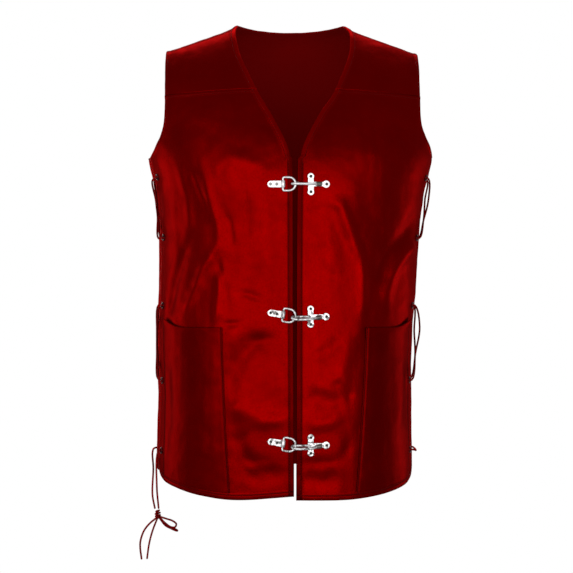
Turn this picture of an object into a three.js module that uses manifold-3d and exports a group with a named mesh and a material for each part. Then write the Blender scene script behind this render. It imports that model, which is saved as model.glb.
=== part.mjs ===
// Lace-up vest of smooth leather, hollow and filled out as if worn, with three hook clasps.
//
// Frame: millimetres. +Z is up, -Y is the front and +X is the wearer's left. The origin is midway
// between the wearer's shoulders, on the line where the front and back meet over them.
//
// The body is a stack of level sections from hem to shoulder ridge. A point on it has a level, counted
// in rows of SECTIONS, and a turn, in degrees round from the centre front towards the wearer's left.
// Every panel is a wall between edges that are given as functions of height.

import * as THREE from 'three';
import { mergeVertices } from 'three/addons/utils/BufferGeometryUtils.js';
import Module from 'manifold-3d';

const wasm = await Module();
wasm.setup();

// ---------------------------------------------------------------- driving sizes

const WALL = 2; // leather, folded over and stitched at its edges
const POCKET_WALL = 1.6;
const GAP = 0.3; // between pieces that touch
const RIM = 0.9; // how far a turned edge stands proud
const RIM_WIDTH = 5;
const RIM_FADE = 1.5; // width of the step from the turned edge down to the panel

// Sections of the filled-out body, from the hem up. right and left are half-widths on the wearer's
// right and left, front and back are depths from the shoulder line, power is the superellipse's,
// slope is how fast the shoulder falls outwards, and stand is how far the neck edge stands up.
const SECTION_KEYS = ['height', 'right', 'left', 'front', 'back', 'power', 'slope', 'stand'];
const SECTIONS = [
  [-690, 194, 177, 120, 106, 2.2, 0, 0],
  [-610, 193, 176, 122, 106, 2.2, 0, 0],
  [-530, 191, 175, 122, 103, 2.2, 0, 0],
  [-450, 193, 176, 120, 99, 2.2, 0, 0],
  [-370, 190, 182, 118, 97, 2.2, 0, 0],
  [-295, 190, 187, 120, 99, 2.2, 0, 0],
  [-235, 195, 195, 124, 103, 2.2, 0, 0],
  [-187, 205, 207, 121, 106, 2.2, 0, 0],
  [-140, 208, 211, 109, 106, 2.25, 0.02, 0],
  [-94, 210, 214, 90, 101, 2.35, 0.06, 0],
  [-52, 211, 216, 67, 89, 2.5, 0.16, 0],
  [-22, 212, 217, 44, 72, 2.6, 0.26, 0],
  [-5, 212, 218, 25, 52, 2.6, 0.32, 1],
  [1, 212, 218, 11, 30, 2.6, 0.345, 2.4],
  [3, 212, 218, 0, 0, 2.6, 0.35, 3],
].map((row) => Object.fromEntries(SECTION_KEYS.map((key, i) => [key, row[i]])));
const RIDGE = SECTIONS.length - 1; // level of the shoulder ridge
const STAND_WIDTH = 14; // how far from the neck edge the stand dies out

const ARMHOLE_BASE = -187;
const YOKE_SEAM = -94;
const POCKET_MOUTH = -429;
const POCKET_MOUTH_RISE = 15; // at the outer corner of the pocket
const LACED_BAND = 22; // the strip along a laced edge that holds the eyelets, clear of the pocket

const FRONT_SIDE_TURN = 80; // the front's laced edge
const BACK_SIDE_TURN = 92; // the back's laced edge

// Edges by height, as half-widths from the centre front.
const NECKLINE = [
  { height: -690, right: 2, left: 2 },
  { height: -640, right: 2, left: 2 },
  { height: -230, right: 4.4, left: 4.4 },
  { height: -200, right: 5.8, left: 6.2 },
  { height: -180, right: 9, left: 9.6 },
  { height: -160, right: 17, left: 18 },
  { height: -128, right: 33.5, left: 36 },
  { height: -98, right: 50.5, left: 56.5 },
  { height: -48, right: 72.5, left: 78 },
  { height: -20, right: 79, left: 83.5 },
  { height: -4, right: 80, left: 83 },
  { height: 3, right: 76, left: 77 },
];
const ARMHOLE_FRONT = [
  { height: ARMHOLE_BASE, right: 202.2, left: 204.2 },
  { height: -171, right: 194.5, left: 198.5 },
  { height: -155, right: 187.5, left: 190.5 },
  { height: -133, right: 182.6, left: 183.5 },
  { height: -98, right: 182, left: 182.6 },
  { height: -30, right: 181.4, left: 183.4 },
  { height: 3, right: 180, left: 184 },
];
const ARMHOLE_BACK = [
  { height: ARMHOLE_BASE, right: 205, left: 207 },
  { height: -165, right: 192, left: 194 },
  { height: -133, right: 182, left: 184 },
  { height: -98, right: 177, left: 178 },
  { height: -30, right: 179, left: 181 },
  { height: 3, right: 180, left: 184 },
];
const POCKET_LINE = [
  { height: -690, right: 89, left: 84 },
  { height: -429, right: 101, left: 100 },
  { height: -94, right: 96, left: 100 },
  { height: 3, right: 96, left: 100 },
];
// Hem height by turn, from the centre front round to the laced edge, and the back's by its own turn.
const HEM_FRONT = [
  { turn: 0, right: -664.5, left: -670 },
  { turn: 22, right: -670, left: -670.5 },
  { turn: 40, right: -665.5, left: -666 },
  { turn: 58, right: -656, left: -658 },
  { turn: 70, right: -648, left: -650 },
  { turn: 77, right: -637, left: -640 },
  { turn: 80, right: -624, left: -627 },
];
const HEM_BACK = [
  { turn: 0, right: -638, left: -638 },
  { turn: 70, right: -640, left: -640 },
  { turn: 84, right: -636, left: -636 },
  { turn: 88, right: -628, left: -628 },
];
const NECK_BACK_DEPTH = 42; // how far behind the shoulder line the neck edge runs at the centre back
const NECK_BACK_HALF = 76.5; // half-width of the back neck

// ---------------------------------------------------------------- small helpers

const DEG = Math.PI / 180;
const lerp = THREE.MathUtils.lerp;

function catmullRom(a, b, c, d, f) {
  const rise = (c - a) / 2;
  const fall = (d - b) / 2;
  return b + f * (rise + f * (3 * (c - b) - 2 * rise - fall + f * (2 * (b - c) + rise + fall)));
}

// A smooth value of one column at a level counted in rows.
function smooth(rows, key, level) {
  const last = rows.length - 1;
  const held = THREE.MathUtils.clamp(level, 0, last);
  const i = Math.min(Math.floor(held), last - 1);
  const at = (k) => rows[THREE.MathUtils.clamp(k, 0, last)][key];
  return catmullRom(at(i - 1), at(i), at(i + 1), at(i + 2), held - i);
}

// The row position at which a rising column has this value.
function rowAt(rows, key, value) {
  let low = 0;
  let high = rows.length - 1;
  const rising = rows[high][key] > rows[low][key] ? 1 : -1;
  for (let step = 0; step < 40; step += 1) {
    const middle = (low + high) / 2;
    if ((smooth(rows, key, middle) - value) * rising < 0) low = middle;
    else high = middle;
  }
  return (low + high) / 2;
}

const sideOf = (sign) => (sign < 0 ? 'right' : 'left');
const sectionAt = (level, key) => smooth(SECTIONS, key, level);
const levelAt = (height) => rowAt(SECTIONS, 'height', height);
const edgeAt = (edge, level, sign) => {
  const height = sectionAt(level, 'height');
  return smooth(edge, sideOf(sign), rowAt(edge, 'height', height));
};

// ---------------------------------------------------------------- the body's surface

function surface(level, turn) {
  const sine = Math.sin(turn * DEG);
  const cosine = Math.cos(turn * DEG);
  const exponent = 2 / sectionAt(level, 'power');
  const half = sectionAt(level, sideOf(sine));
  const x = half * Math.sign(sine) * Math.abs(sine) ** exponent;
  const depth = cosine > 0 ? -sectionAt(level, 'front') : sectionAt(level, 'back');
  const y = depth * Math.abs(cosine) ** exponent;
  const beyond = Math.max(0, Math.abs(x) - NECK_BACK_HALF);
  const stand = sectionAt(level, 'stand') * Math.exp(-((beyond / STAND_WIDTH) ** 2));
  return new THREE.Vector3(x, y, sectionAt(level, 'height') - sectionAt(level, 'slope') * beyond + stand);
}

// The turn at which the surface is this far from the centre, on the front or the back.
function turnAtX(level, x, isBack) {
  const half = sectionAt(level, sideOf(x));
  const sine = Math.min(1, Math.abs(x) / half) ** (sectionAt(level, 'power') / 2);
  const turn = Math.asin(sine) / DEG;
  return isBack ? 180 - Math.sign(x) * turn : Math.sign(x) * turn;
}

const TURN_STEP = 0.05;
const LEVEL_STEP = 0.004;

function outward(level, turn) {
  const low = Math.min(level, RIDGE - LEVEL_STEP);
  const along = surface(low, turn + TURN_STEP).sub(surface(low, turn - TURN_STEP));
  const up = surface(low + LEVEL_STEP, turn).sub(surface(low - LEVEL_STEP, turn));
  return along.cross(up).normalize();
}

// How many degrees of turn, or rows of level, make one millimetre of leather here.
const turnPerMm = (level, turn) =>
  (2 * TURN_STEP) / surface(level, turn + TURN_STEP).distanceTo(surface(level, turn - TURN_STEP));
function levelPerMm(level, turn) {
  const low = Math.min(level, RIDGE - LEVEL_STEP);
  return (2 * LEVEL_STEP) / surface(low + LEVEL_STEP, turn).distanceTo(surface(low - LEVEL_STEP, turn));
}

// ---------------------------------------------------------------- walls

// Grid nodes of a panel: rows are functions of turn and x that give a level, and columns are functions
// of level that give a turn. Each node settles between the two in a few rounds.
function gridOf(rows, columns) {
  return rows.map((levelFor) =>
    columns.map((turnFor) => {
      let level = levelFor(turnFor(RIDGE / 2), 0);
      let turn = turnFor(level);
      for (let round = 0; round < 6; round += 1) {
        level = levelFor(turn, surface(level, turn).x);
        turn = turnFor(level);
      }
      return { level, turn };
    }),
  );
}

// A point of a panel, moved out from the body's surface. The panels meet over the shoulder on the
// plane y = 0, half a gap from it each.
function lifted(node, lift, isBack) {
  const normal = outward(node.level, node.turn);
  if (node.level > RIDGE - LEVEL_STEP) normal.setY(0).normalize();
  const point = surface(node.level, node.turn).addScaledVector(normal, lift);
  point.y = isBack ? Math.max(point.y, GAP / 2) : Math.min(point.y, -GAP / 2);
  return point;
}

// A closed wall between an outer and an inner grid of points with the same rows and columns.
function wallBetween(outer, inner) {
  const rows = outer.length;
  const columns = outer[0].length;
  const index = (side, r, c) => (side * rows + r) * columns + c;
  const faces = [];
  const quad = (a, b, c, d) => faces.push(a, b, c, a, c, d);
  for (let r = 0; r < rows - 1; r += 1) {
    for (let c = 0; c < columns - 1; c += 1) {
      quad(index(0, r, c), index(0, r, c + 1), index(0, r + 1, c + 1), index(0, r + 1, c));
      quad(index(1, r, c), index(1, r + 1, c), index(1, r + 1, c + 1), index(1, r, c + 1));
    }
    quad(index(0, r, 0), index(0, r + 1, 0), index(1, r + 1, 0), index(1, r, 0));
    const end = columns - 1;
    quad(index(0, r, end), index(1, r, end), index(1, r + 1, end), index(0, r + 1, end));
  }
  for (let c = 0; c < columns - 1; c += 1) {
    quad(index(0, 0, c), index(1, 0, c), index(1, 0, c + 1), index(0, 0, c + 1));
    const top = rows - 1;
    quad(index(0, top, c), index(0, top, c + 1), index(1, top, c + 1), index(1, top, c));
  }
  const geometry = new THREE.BufferGeometry();
  const flat = [...outer, ...inner].flat().flatMap((p) => [p.x, p.y, p.z]);
  geometry.setAttribute('position', new THREE.Float32BufferAttribute(flat, 3));
  geometry.setIndex(faces);
  return geometry;
}

// ---------------------------------------------------------------- columns and rows of the panels

// Columns between two edges: a turned edge at either end, and even steps through the knots between.
function columnsThrough(knots, steps) {
  const fade = RIM_WIDTH + RIM_FADE;
  const first = knots[0];
  const last = knots[knots.length - 1];
  const inFrom = (edge, mm) => (level) => edge(level) + mm * turnPerMm(level, edge(level));
  const bounds = [inFrom(first, fade), ...knots.slice(1, -1), inFrom(last, -fade)];
  const columns = [first, inFrom(first, RIM_WIDTH), bounds[0]];
  for (let k = 0; k < bounds.length - 1; k += 1) {
    for (let i = 1; i <= steps[k]; i += 1) {
      columns.push((level) => lerp(bounds[k](level), bounds[k + 1](level), i / steps[k]));
    }
  }
  return [...columns, inFrom(last, -RIM_WIDTH), last];
}

// Rows from one line to another, without the first of them.
function rowsUpTo(from, to, steps) {
  return Array.from({ length: steps }, (_, i) => (turn, x) => lerp(from(turn, x), to(turn, x), (i + 1) / steps));
}

const above = (line, mm) => (turn, x) => {
  const level = line(turn, x);
  return level + mm * levelPerMm(level, turn);
};
const hemRows = (hem, to, steps) => {
  const fade = above(hem, RIM_WIDTH + RIM_FADE);
  return [hem, above(hem, RIM_WIDTH), fade, ...rowsUpTo(fade, to, steps)];
};

const hemLine = (table, isBack) => (turn) => {
  const around = isBack ? Math.abs(180 - turn) : Math.abs(turn);
  const side = isBack ? sideOf(180 - turn) : sideOf(turn);
  return levelAt(smooth(table, side, rowAt(table, 'turn', around)));
};

const sideEdge = (sign, isBack) => (level) => {
  if (sectionAt(level, 'height') > ARMHOLE_BASE) {
    const edge = isBack ? ARMHOLE_BACK : ARMHOLE_FRONT;
    return turnAtX(level, sign * edgeAt(edge, level, sign), isBack);
  }
  if (isBack) return sign > 0 ? BACK_SIDE_TURN : 360 - BACK_SIDE_TURN;
  return sign * FRONT_SIDE_TURN;
};

// ---------------------------------------------------------------- solids, cuts and placing

function manifoldOf(geometry) {
  const bare = new THREE.BufferGeometry();
  bare.setAttribute('position', geometry.getAttribute('position').clone());
  if (geometry.index) bare.setIndex(geometry.index.clone());
  const merged = mergeVertices(bare, 1e-4);
  return new wasm.Manifold(
    new wasm.Mesh({
      numProp: 3,
      vertProperties: new Float32Array(merged.getAttribute('position').array),
      triVerts: new Uint32Array(merged.index.array),
    }),
  );
}

function geometryOf(solid) {
  const mesh = solid.getMesh();
  const geometry = new THREE.BufferGeometry();
  geometry.setAttribute('position', new THREE.Float32BufferAttribute(mesh.vertProperties, 3));
  geometry.setIndex(Array.from(mesh.triVerts));
  return geometry;
}

function cutBy(geometry, cutters) {
  let solid = manifoldOf(geometry);
  for (const cutter of cutters) solid = solid.subtract(manifoldOf(cutter));
  return geometryOf(solid);
}

function joined(geometries) {
  return geometryOf(geometries.map(manifoldOf).reduce((whole, piece) => whole.add(piece)));
}

// A frame on a panel: x runs round the body, y runs up and z points out of the leather.
function frameOn(height, x, isBack = false) {
  const level = levelAt(height);
  const turn = turnAtX(level, x, isBack);
  return frameAtTurn(level, turn);
}

function frameAtTurn(level, turn) {
  const out = outward(level, turn);
  const across = new THREE.Vector3(0, 0, 1).cross(out).normalize();
  const frame = new THREE.Matrix4().makeBasis(across, out.clone().cross(across), out);
  return frame.setPosition(surface(level, turn));
}

const group = new THREE.Group();
const LEATHER = new THREE.MeshStandardMaterial({ color: 0x8f0000, roughness: 0.42 });
const CHROME = new THREE.MeshStandardMaterial({ color: 0xe4e4e6, roughness: 0.15, metalness: 1 });
const EYELET_METAL = new THREE.MeshStandardMaterial({ color: 0x6e2222, roughness: 0.3, metalness: 0.8 });
const CORD = new THREE.MeshStandardMaterial({ color: 0x5a1414, roughness: 0.7 });

function add(name, geometry, material) {
  const mesh = new THREE.Mesh(geometry, material.clone());
  mesh.name = name;
  group.add(mesh);
}

// ---------------------------------------------------------------- eyelets

const EYELET_HEIGHTS = [-216, -302, -399, -506, -606];
const EYELET_INSET = 13; // from the laced edge
const EYELET_BORE = 2.9;
const EYELET_TUBE = 3.5;
const EYELET_FLANGE = 5;
const EYELET_FACE = 0.9; // thickness of the flange
const EYELET_SIDES = 8;
const EYELET_HOLE = EYELET_TUBE + GAP;

// Each laced edge, with its turn and the way to go inwards from it.
const LACED_EDGES = [
  { name: 'front_right', turn: -FRONT_SIDE_TURN, inwards: 1 },
  { name: 'front_left', turn: FRONT_SIDE_TURN, inwards: -1 },
  { name: 'back_right', turn: -BACK_SIDE_TURN, inwards: -1 },
  { name: 'back_left', turn: BACK_SIDE_TURN, inwards: 1 },
];

function eyeletFrames(edge) {
  return EYELET_HEIGHTS.map((height) => {
    const level = levelAt(height);
    return frameAtTurn(level, edge.turn + edge.inwards * EYELET_INSET * turnPerMm(level, edge.turn));
  });
}

function eyeletGeometry() {
  const out = GAP;
  const inside = -WALL - 3 * GAP; // the leather's inner face bends away under the flange
  const profile = [
    [EYELET_BORE, inside - EYELET_FACE],
    [EYELET_FLANGE, inside],
    [EYELET_TUBE, inside],
    [EYELET_TUBE, out],
    [EYELET_FLANGE, out],
    [EYELET_BORE, out + EYELET_FACE],
    [EYELET_BORE, inside - EYELET_FACE],
  ];
  const ring = new THREE.LatheGeometry(profile.map(([r, y]) => new THREE.Vector2(r, y)), EYELET_SIDES);
  return ring.rotateX(Math.PI / 2);
}

// A cutter for a round hole through the leather, along a frame's z axis.
function holeCutter(frame, radius) {
  const cutter = new THREE.CylinderGeometry(radius, radius, 6 * WALL, EYELET_SIDES);
  return cutter.rotateX(Math.PI / 2).translate(0, 0, -WALL / 2).applyMatrix4(frame);
}

const eyeletCutters = {};
for (const edge of LACED_EDGES) {
  const frames = eyeletFrames(edge);
  eyeletCutters[edge.name] = frames.map((frame) => holeCutter(frame, EYELET_HOLE));
  frames.forEach((frame, i) => {
    add(`eyelet_${edge.name}_${i + 1}`, eyeletGeometry().applyMatrix4(frame), EYELET_METAL);
  });
}

// ---------------------------------------------------------------- clasps

// Each clasp: its height, how far its strap plate and ring tilt in the leather's plane, and how far
// its hook rolls over about its own length.
const CLASPS = [
  { name: 'top', height: -229.5, tilt: 0, roll: 0 },
  { name: 'middle', height: -414, tilt: -9, roll: 32 },
  { name: 'bottom', height: -593, tilt: -9, roll: 32 },
];
const STRAP_X = -28; // centre of the strap plate, from the centre front
const HOOK_X = 21.5; // centre of the hook plate's cross bar
const HOOK_MIDDLE = 8.5; // from there to the middle of the hook plate, where it touches the leather
const PLATE = 2; // thickness
const PLATE_LIFT = 0.5; // from the leather to the plate
const STRAP_LENGTH = 21;
const STRAP_HALF = 5.2;
const STRAP_NARROW = 4.4;
const RING_WIRE = 1.4;
const RING_HALF = 9.2; // half the height of the D ring's centreline
const RING_LENGTH = 17.6; // from its straight bar to the top of its arc
const RING_RISE = 10; // degrees that the ring stands off the leather
const KNUCKLE = 2.9; // radius of the strap plate's loop round the ring's straight bar
const KNUCKLE_OUT = 3.8; // height of its axis above the leather
const CROSS_HALF = 10.8; // from the cross bar's centre to a lobe's centre
const CROSS_BAR = 3.2; // half-width of the bar between the lobes
const LOBE = 4.7;
const TAIL_X = 21.5;
const TAIL_LOBE = 5.2;
const TAIL_NECK = 2.4;
const ARM_OUT = 3.6; // height of the fixed arm above the leather
const ARM_REACH = -22.4;
const ARM_RADIUS = 1.3;
const HOOK_RADIUS = 1.5;
const RIVET_HEAD = 2.3;
const RIVET_SHANK = 1.1;
const RIVET_RISE = 1.1;
const RIVET_SIDES = 6;

function circleShape(radius, sides) {
  const corners = Array.from({ length: sides }, (_, i) => {
    const angle = (2 * Math.PI * i) / sides;
    return new THREE.Vector2(radius * Math.cos(angle), radius * Math.sin(angle));
  });
  return new THREE.Shape(corners);
}

// A route through points in which each stretch between two points gets as many steps as any other,
// so that close points give fine steps.
class Route extends THREE.CatmullRomCurve3 {
  getPointAt(u, target) {
    return this.getPoint(u, target);
  }

  getTangentAt(u, target) {
    return this.getTangent(u, target);
  }
}

function rod(points, radius, sides, stepsPerStretch) {
  const route = new Route(points.map((p) => new THREE.Vector3(...p)), false, 'centripetal');
  const steps = (points.length - 1) * stepsPerStretch;
  return new THREE.ExtrudeGeometry(circleShape(radius, sides), { steps, extrudePath: route });
}

function plateOf(shape, curveSegments) {
  const plate = new THREE.ExtrudeGeometry(shape, { depth: PLATE, bevelEnabled: false, curveSegments });
  return plate.translate(0, 0, PLATE_LIFT);
}

function strapPlate() {
  const end = -STRAP_LENGTH / 2 + STRAP_NARROW;
  const shape = new THREE.Shape();
  shape.moveTo(STRAP_LENGTH / 2, -STRAP_HALF);
  shape.lineTo(STRAP_LENGTH / 2, STRAP_HALF);
  shape.lineTo(end, STRAP_NARROW);
  shape.absarc(end, 0, STRAP_NARROW, Math.PI / 2, -Math.PI / 2, false);
  const centre = [STRAP_LENGTH / 2 + 0.6, 0, KNUCKLE_OUT];
  const barrel = new THREE.CylinderGeometry(KNUCKLE, KNUCKLE, 2 * STRAP_HALF, 10).translate(...centre);
  const bore = new THREE.CylinderGeometry(RING_WIRE + GAP, RING_WIRE + GAP, 6 * STRAP_HALF, 8);
  return cutBy(joined([plateOf(shape, 4), barrel]), [bore.translate(...centre)]);
}

function ringGeometry() {
  const corner = 2.4;
  const straight = [
    [0, -RING_HALF + corner, 0],
    [0, 0, 0],
    [0, RING_HALF - corner, 0],
    [corner * 0.4, RING_HALF - corner * 0.3, 0],
    [corner * 1.4, RING_HALF, 0],
  ];
  const bend = RING_LENGTH - RING_HALF;
  const arc = [75, 50, 25, 0, -25, -50, -75].map((angle) => [
    bend + RING_HALF * Math.cos(angle * DEG),
    RING_HALF * Math.sin(angle * DEG),
    0,
  ]);
  const back = [
    [corner * 1.4, -RING_HALF, 0],
    [corner * 0.4, -RING_HALF + corner * 0.3, 0],
  ];
  const points = [...straight, ...arc, ...back].map((p) => new THREE.Vector3(...p));
  const ring = new THREE.TubeGeometry(new THREE.CatmullRomCurve3(points, true), 24, RING_WIRE, 6, true);
  ring.rotateY(-RING_RISE * DEG);
  return ring.translate(STRAP_LENGTH / 2 + 0.6, 0, KNUCKLE_OUT);
}

function hookPlate() {
  const shape = new THREE.Shape();
  const lobeTurn = Math.asin(CROSS_BAR / LOBE);
  const neckTurn = Math.asin(TAIL_NECK / TAIL_LOBE);
  shape.moveTo(CROSS_BAR, TAIL_NECK);
  shape.lineTo(CROSS_BAR, CROSS_HALF - LOBE * Math.cos(lobeTurn));
  shape.absarc(0, CROSS_HALF, LOBE, -Math.PI / 2 + lobeTurn, (3 * Math.PI) / 2 - lobeTurn, false);
  shape.lineTo(-CROSS_BAR, -CROSS_HALF + LOBE * Math.cos(lobeTurn));
  shape.absarc(0, -CROSS_HALF, LOBE, Math.PI / 2 + lobeTurn, (5 * Math.PI) / 2 - lobeTurn, false);
  shape.lineTo(CROSS_BAR, -TAIL_NECK);
  shape.lineTo(TAIL_X - TAIL_LOBE * Math.cos(neckTurn), -TAIL_NECK);
  shape.absarc(TAIL_X, 0, TAIL_LOBE, -Math.PI + neckTurn, Math.PI - neckTurn, false);
  const arm = [
    [0, 0, PLATE_LIFT + 0.9],
    [-4, 0, ARM_OUT - 0.6],
    [-8, 0, ARM_OUT],
    [ARM_REACH, 0, ARM_OUT],
  ];
  return joined([plateOf(shape, 4), rod(arm, ARM_RADIUS, 6, 1)]);
}

// The sprung hook: a barrel of coils over the plate's neck, and an arm that passes over the ring and
// turns in through it.
function hookGeometry() {
  const out = ARM_OUT + 7.6;
  const arm = [
    [14.5, 0, 5.4],
    [9, 0, 6.6],
    [3, 0, 9.4],
    [-4, 0, out - 0.3],
    [-12, 0, out],
    [-19, 0, out],
    [-24, 0, out - 1.1],
    [-26.6, 0, ARM_OUT + 4],
    [-26.2, 0, ARM_OUT + 1.3],
    [-24.4, 0, ARM_OUT],
  ];
  return rod(arm, HOOK_RADIUS, 6, 2);
}

function rivetGeometry() {
  const head = PLATE_LIFT + PLATE + GAP;
  const inside = -WALL - 4 * GAP;
  const profile = [
    [0, inside - RIVET_RISE * 0.7],
    [RIVET_HEAD, inside - RIVET_RISE * 0.4],
    [RIVET_HEAD, inside],
    [RIVET_SHANK, inside],
    [RIVET_SHANK, head],
    [RIVET_HEAD, head],
    [RIVET_HEAD * 0.7, head + RIVET_RISE * 0.8],
    [0, head + RIVET_RISE],
  ];
  const rivet = new THREE.LatheGeometry(profile.map(([r, y]) => new THREE.Vector2(r, y)), RIVET_SIDES);
  return rivet.rotateX(Math.PI / 2);
}

const rivetCutters = { front_right: [], front_left: [] };
const STRAP_RIVETS = [
  [-6.2, 0],
  [2.4, 0],
];
const HOOK_RIVETS = [
  [0, CROSS_HALF],
  [0, -CROSS_HALF],
  [TAIL_X + 0.8, 0],
];

function addRivets(name, frame, places, panel, plate) {
  const bores = [];
  places.forEach(([x, y], i) => {
    const spot = new THREE.Matrix4().makeTranslation(x, y, 0).premultiply(frame);
    add(`${name}_rivet_${i + 1}`, rivetGeometry().applyMatrix4(spot), CHROME);
    rivetCutters[panel].push(holeCutter(spot, RIVET_SHANK + GAP));
    bores.push(holeCutter(spot, RIVET_SHANK + GAP));
  });
  return cutBy(plate.applyMatrix4(frame), bores);
}

for (const clasp of CLASPS) {
  const name = `clasp_${clasp.name}`;
  const strapFrame = frameOn(clasp.height, STRAP_X);
  // the strap plate and ring swing in the leather's plane about the hook's nose
  const pivot = -STRAP_X;
  const swing = new THREE.Matrix4().makeTranslation(pivot, 0, 0);
  swing.multiply(new THREE.Matrix4().makeRotationZ(clasp.tilt * DEG));
  swing.multiply(new THREE.Matrix4().makeTranslation(-pivot, 0, 0));
  const strap = strapFrame.clone().multiply(swing);
  add(`${name}_strap_plate`, addRivets(`${name}_strap`, strap, STRAP_RIVETS, 'front_right', strapPlate()), CHROME);
  add(`${name}_ring`, ringGeometry().applyMatrix4(strap), CHROME);
  const hookFrame = frameOn(clasp.height, HOOK_X + HOOK_MIDDLE);
  hookFrame.multiply(new THREE.Matrix4().makeTranslation(-HOOK_MIDDLE, 0, 0));
  add(`${name}_hook_plate`, addRivets(`${name}_hook`, hookFrame, HOOK_RIVETS, 'front_left', hookPlate()), CHROME);
  const hook = hookGeometry().translate(0, 0, -ARM_OUT).rotateX(clasp.roll * DEG).translate(0, 0, ARM_OUT);
  add(`${name}_hook`, hook.applyMatrix4(hookFrame), CHROME);
}

// ---------------------------------------------------------------- leather panels

const PANEL_COLUMNS = [4, 5, 1]; // steps from the front edge to the pocket line, the pocket and the side
const HEM_TO_MOUTH = 6;
const MOUTH_TO_ARMHOLE = 6;
const ARMHOLE_TO_YOKE = 3;

function frontColumns(sign) {
  const edge = (level) => turnAtX(level, sign * edgeAt(NECKLINE, level, sign), false);
  const pocketLine = (level) => turnAtX(level, sign * edgeAt(POCKET_LINE, level, sign), false);
  const side = sideEdge(sign, false);
  const pocketEnd = (level) => side(level) - sign * LACED_BAND * turnPerMm(level, side(level));
  if (sign > 0) return columnsThrough([edge, pocketLine, pocketEnd, side], PANEL_COLUMNS);
  return columnsThrough([side, pocketEnd, pocketLine, edge], [...PANEL_COLUMNS].reverse());
}

const mouthLine = (turn) => {
  const outer = THREE.MathUtils.smoothstep(Math.abs(turn), 46, 74);
  return levelAt(POCKET_MOUTH + POCKET_MOUTH_RISE * outer ** 2);
};
const armholeLine = () => levelAt(ARMHOLE_BASE);
const seamBelow = () => levelAt(YOKE_SEAM) - (GAP / 2) * levelPerMm(levelAt(YOKE_SEAM), 30);
const seamAbove = () => levelAt(YOKE_SEAM) + (GAP / 2) * levelPerMm(levelAt(YOKE_SEAM), 30);

function frontRows() {
  return [
    ...hemRows(hemLine(HEM_FRONT, false), mouthLine, HEM_TO_MOUTH),
    ...rowsUpTo(mouthLine, armholeLine, MOUTH_TO_ARMHOLE),
    ...rowsUpTo(armholeLine, seamBelow, ARMHOLE_TO_YOKE),
  ];
}

// The wall of a panel, with its turned edges standing proud where isRim says so.
function panel(grid, isBack, isRim) {
  const outer = grid.map((row, r) => row.map((node, c) => lifted(node, isRim(r, c) ? RIM : 0, isBack)));
  const inner = grid.map((row) => row.map((node) => lifted(node, -WALL, isBack)));
  return wallBetween(outer, inner);
}

function pocketOn(grid, sign) {
  const edgeColumns = 2 + 1; // the turned edge's columns come before the first band
  const [front, across, side] = PANEL_COLUMNS;
  const first = sign > 0 ? edgeColumns + front - 1 : edgeColumns + side - 1;
  const bottom = 2; // the pocket starts where the hem's turned edge ends
  const patch = grid.slice(bottom, bottom + HEM_TO_MOUTH + 1).map((row) => row.slice(first, first + across + 1));
  const outer = patch.map((row) => row.map((node) => lifted(node, GAP + POCKET_WALL, false)));
  const inner = patch.map((row) => row.map((node) => lifted(node, GAP, false)));
  return wallBetween(outer, inner);
}

for (const sign of [-1, 1]) {
  const side = sideOf(sign);
  const columns = frontColumns(sign);
  const last = columns.length - 1;
  const atEdge = (c) => c <= 1 || c >= last - 1;
  const front = gridOf(frontRows(), columns);
  const frontWall = panel(front, false, (r, c) => r <= 1 || atEdge(c));
  const cutters = [...eyeletCutters[`front_${side}`], ...rivetCutters[`front_${side}`]];
  add(`front_${side}`, cutBy(frontWall, cutters), LEATHER);
  add(`pocket_${side}`, pocketOn(front, sign), LEATHER);

  const yokeRows = [seamAbove, ...rowsUpTo(seamAbove, () => RIDGE, 8)];
  const yoke = gridOf(yokeRows, yokeColumns(sign));
  const yokeLast = yoke[0].length - 1;
  add(`front_${side}_yoke`, panel(yoke, false, (r, c) => c <= 1 || c >= yokeLast - 1), LEATHER);
}

function yokeColumns(sign) {
  const neck = (level) => turnAtX(level, sign * edgeAt(NECKLINE, level, sign), false);
  const arm = sideEdge(sign, false);
  return columnsThrough(sign > 0 ? [neck, arm] : [arm, neck], [6]);
}

// The back's upper edge: over the shoulders on the ridge, and round the neck behind it.
function backTop(turn, x) {
  const share = Math.min(1, Math.abs(x) / NECK_BACK_HALF);
  const depth = NECK_BACK_DEPTH * (1 - share ** 2.4) ** 0.7;
  return depth > 0 ? rowAt(SECTIONS.slice(-5), 'back', depth) + RIDGE - 4 : RIDGE;
}

const BACK_COLUMNS = [1, 5, 6, 5, 1];

function backGrid() {
  const neckSide = (sign) => (level) => turnAtX(level, sign * NECK_BACK_HALF, true);
  const lacedBand = (sign) => (level) => {
    const side = sideEdge(sign, true)(level);
    return side + sign * LACED_BAND * turnPerMm(level, side);
  };
  const knots = [sideEdge(1, true), lacedBand(1), neckSide(1), neckSide(-1), lacedBand(-1), sideEdge(-1, true)];
  const columns = columnsThrough(knots, BACK_COLUMNS);
  const fade = above(backTop, -RIM_WIDTH - RIM_FADE);
  const rows = [
    ...hemRows(hemLine(HEM_BACK, true), armholeLine, 8),
    ...rowsUpTo(armholeLine, fade, 6),
    above(backTop, -RIM_WIDTH),
    backTop,
  ];
  return gridOf(rows, columns);
}

const backNodes = backGrid();
const backRow = backNodes.length - 1;
const backColumn = backNodes[0].length - 1;
const neckFirst = 2 + BACK_COLUMNS[0] + BACK_COLUMNS[1];
const neckLast = neckFirst + BACK_COLUMNS[2];
const backRim = (r, c) => {
  if (r >= backRow - 1) return c <= 1 || c >= backColumn - 1 || (c >= neckFirst && c <= neckLast);
  return r <= 1 || c <= 1 || c >= backColumn - 1;
};
const backCutters = [...eyeletCutters.back_right, ...eyeletCutters.back_left];
add('back', cutBy(panel(backNodes, true, backRim), backCutters), LEATHER);

// ---------------------------------------------------------------- laces

const CORD_RADIUS = 1.35;
const CORD_SIDES = 8;

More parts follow.
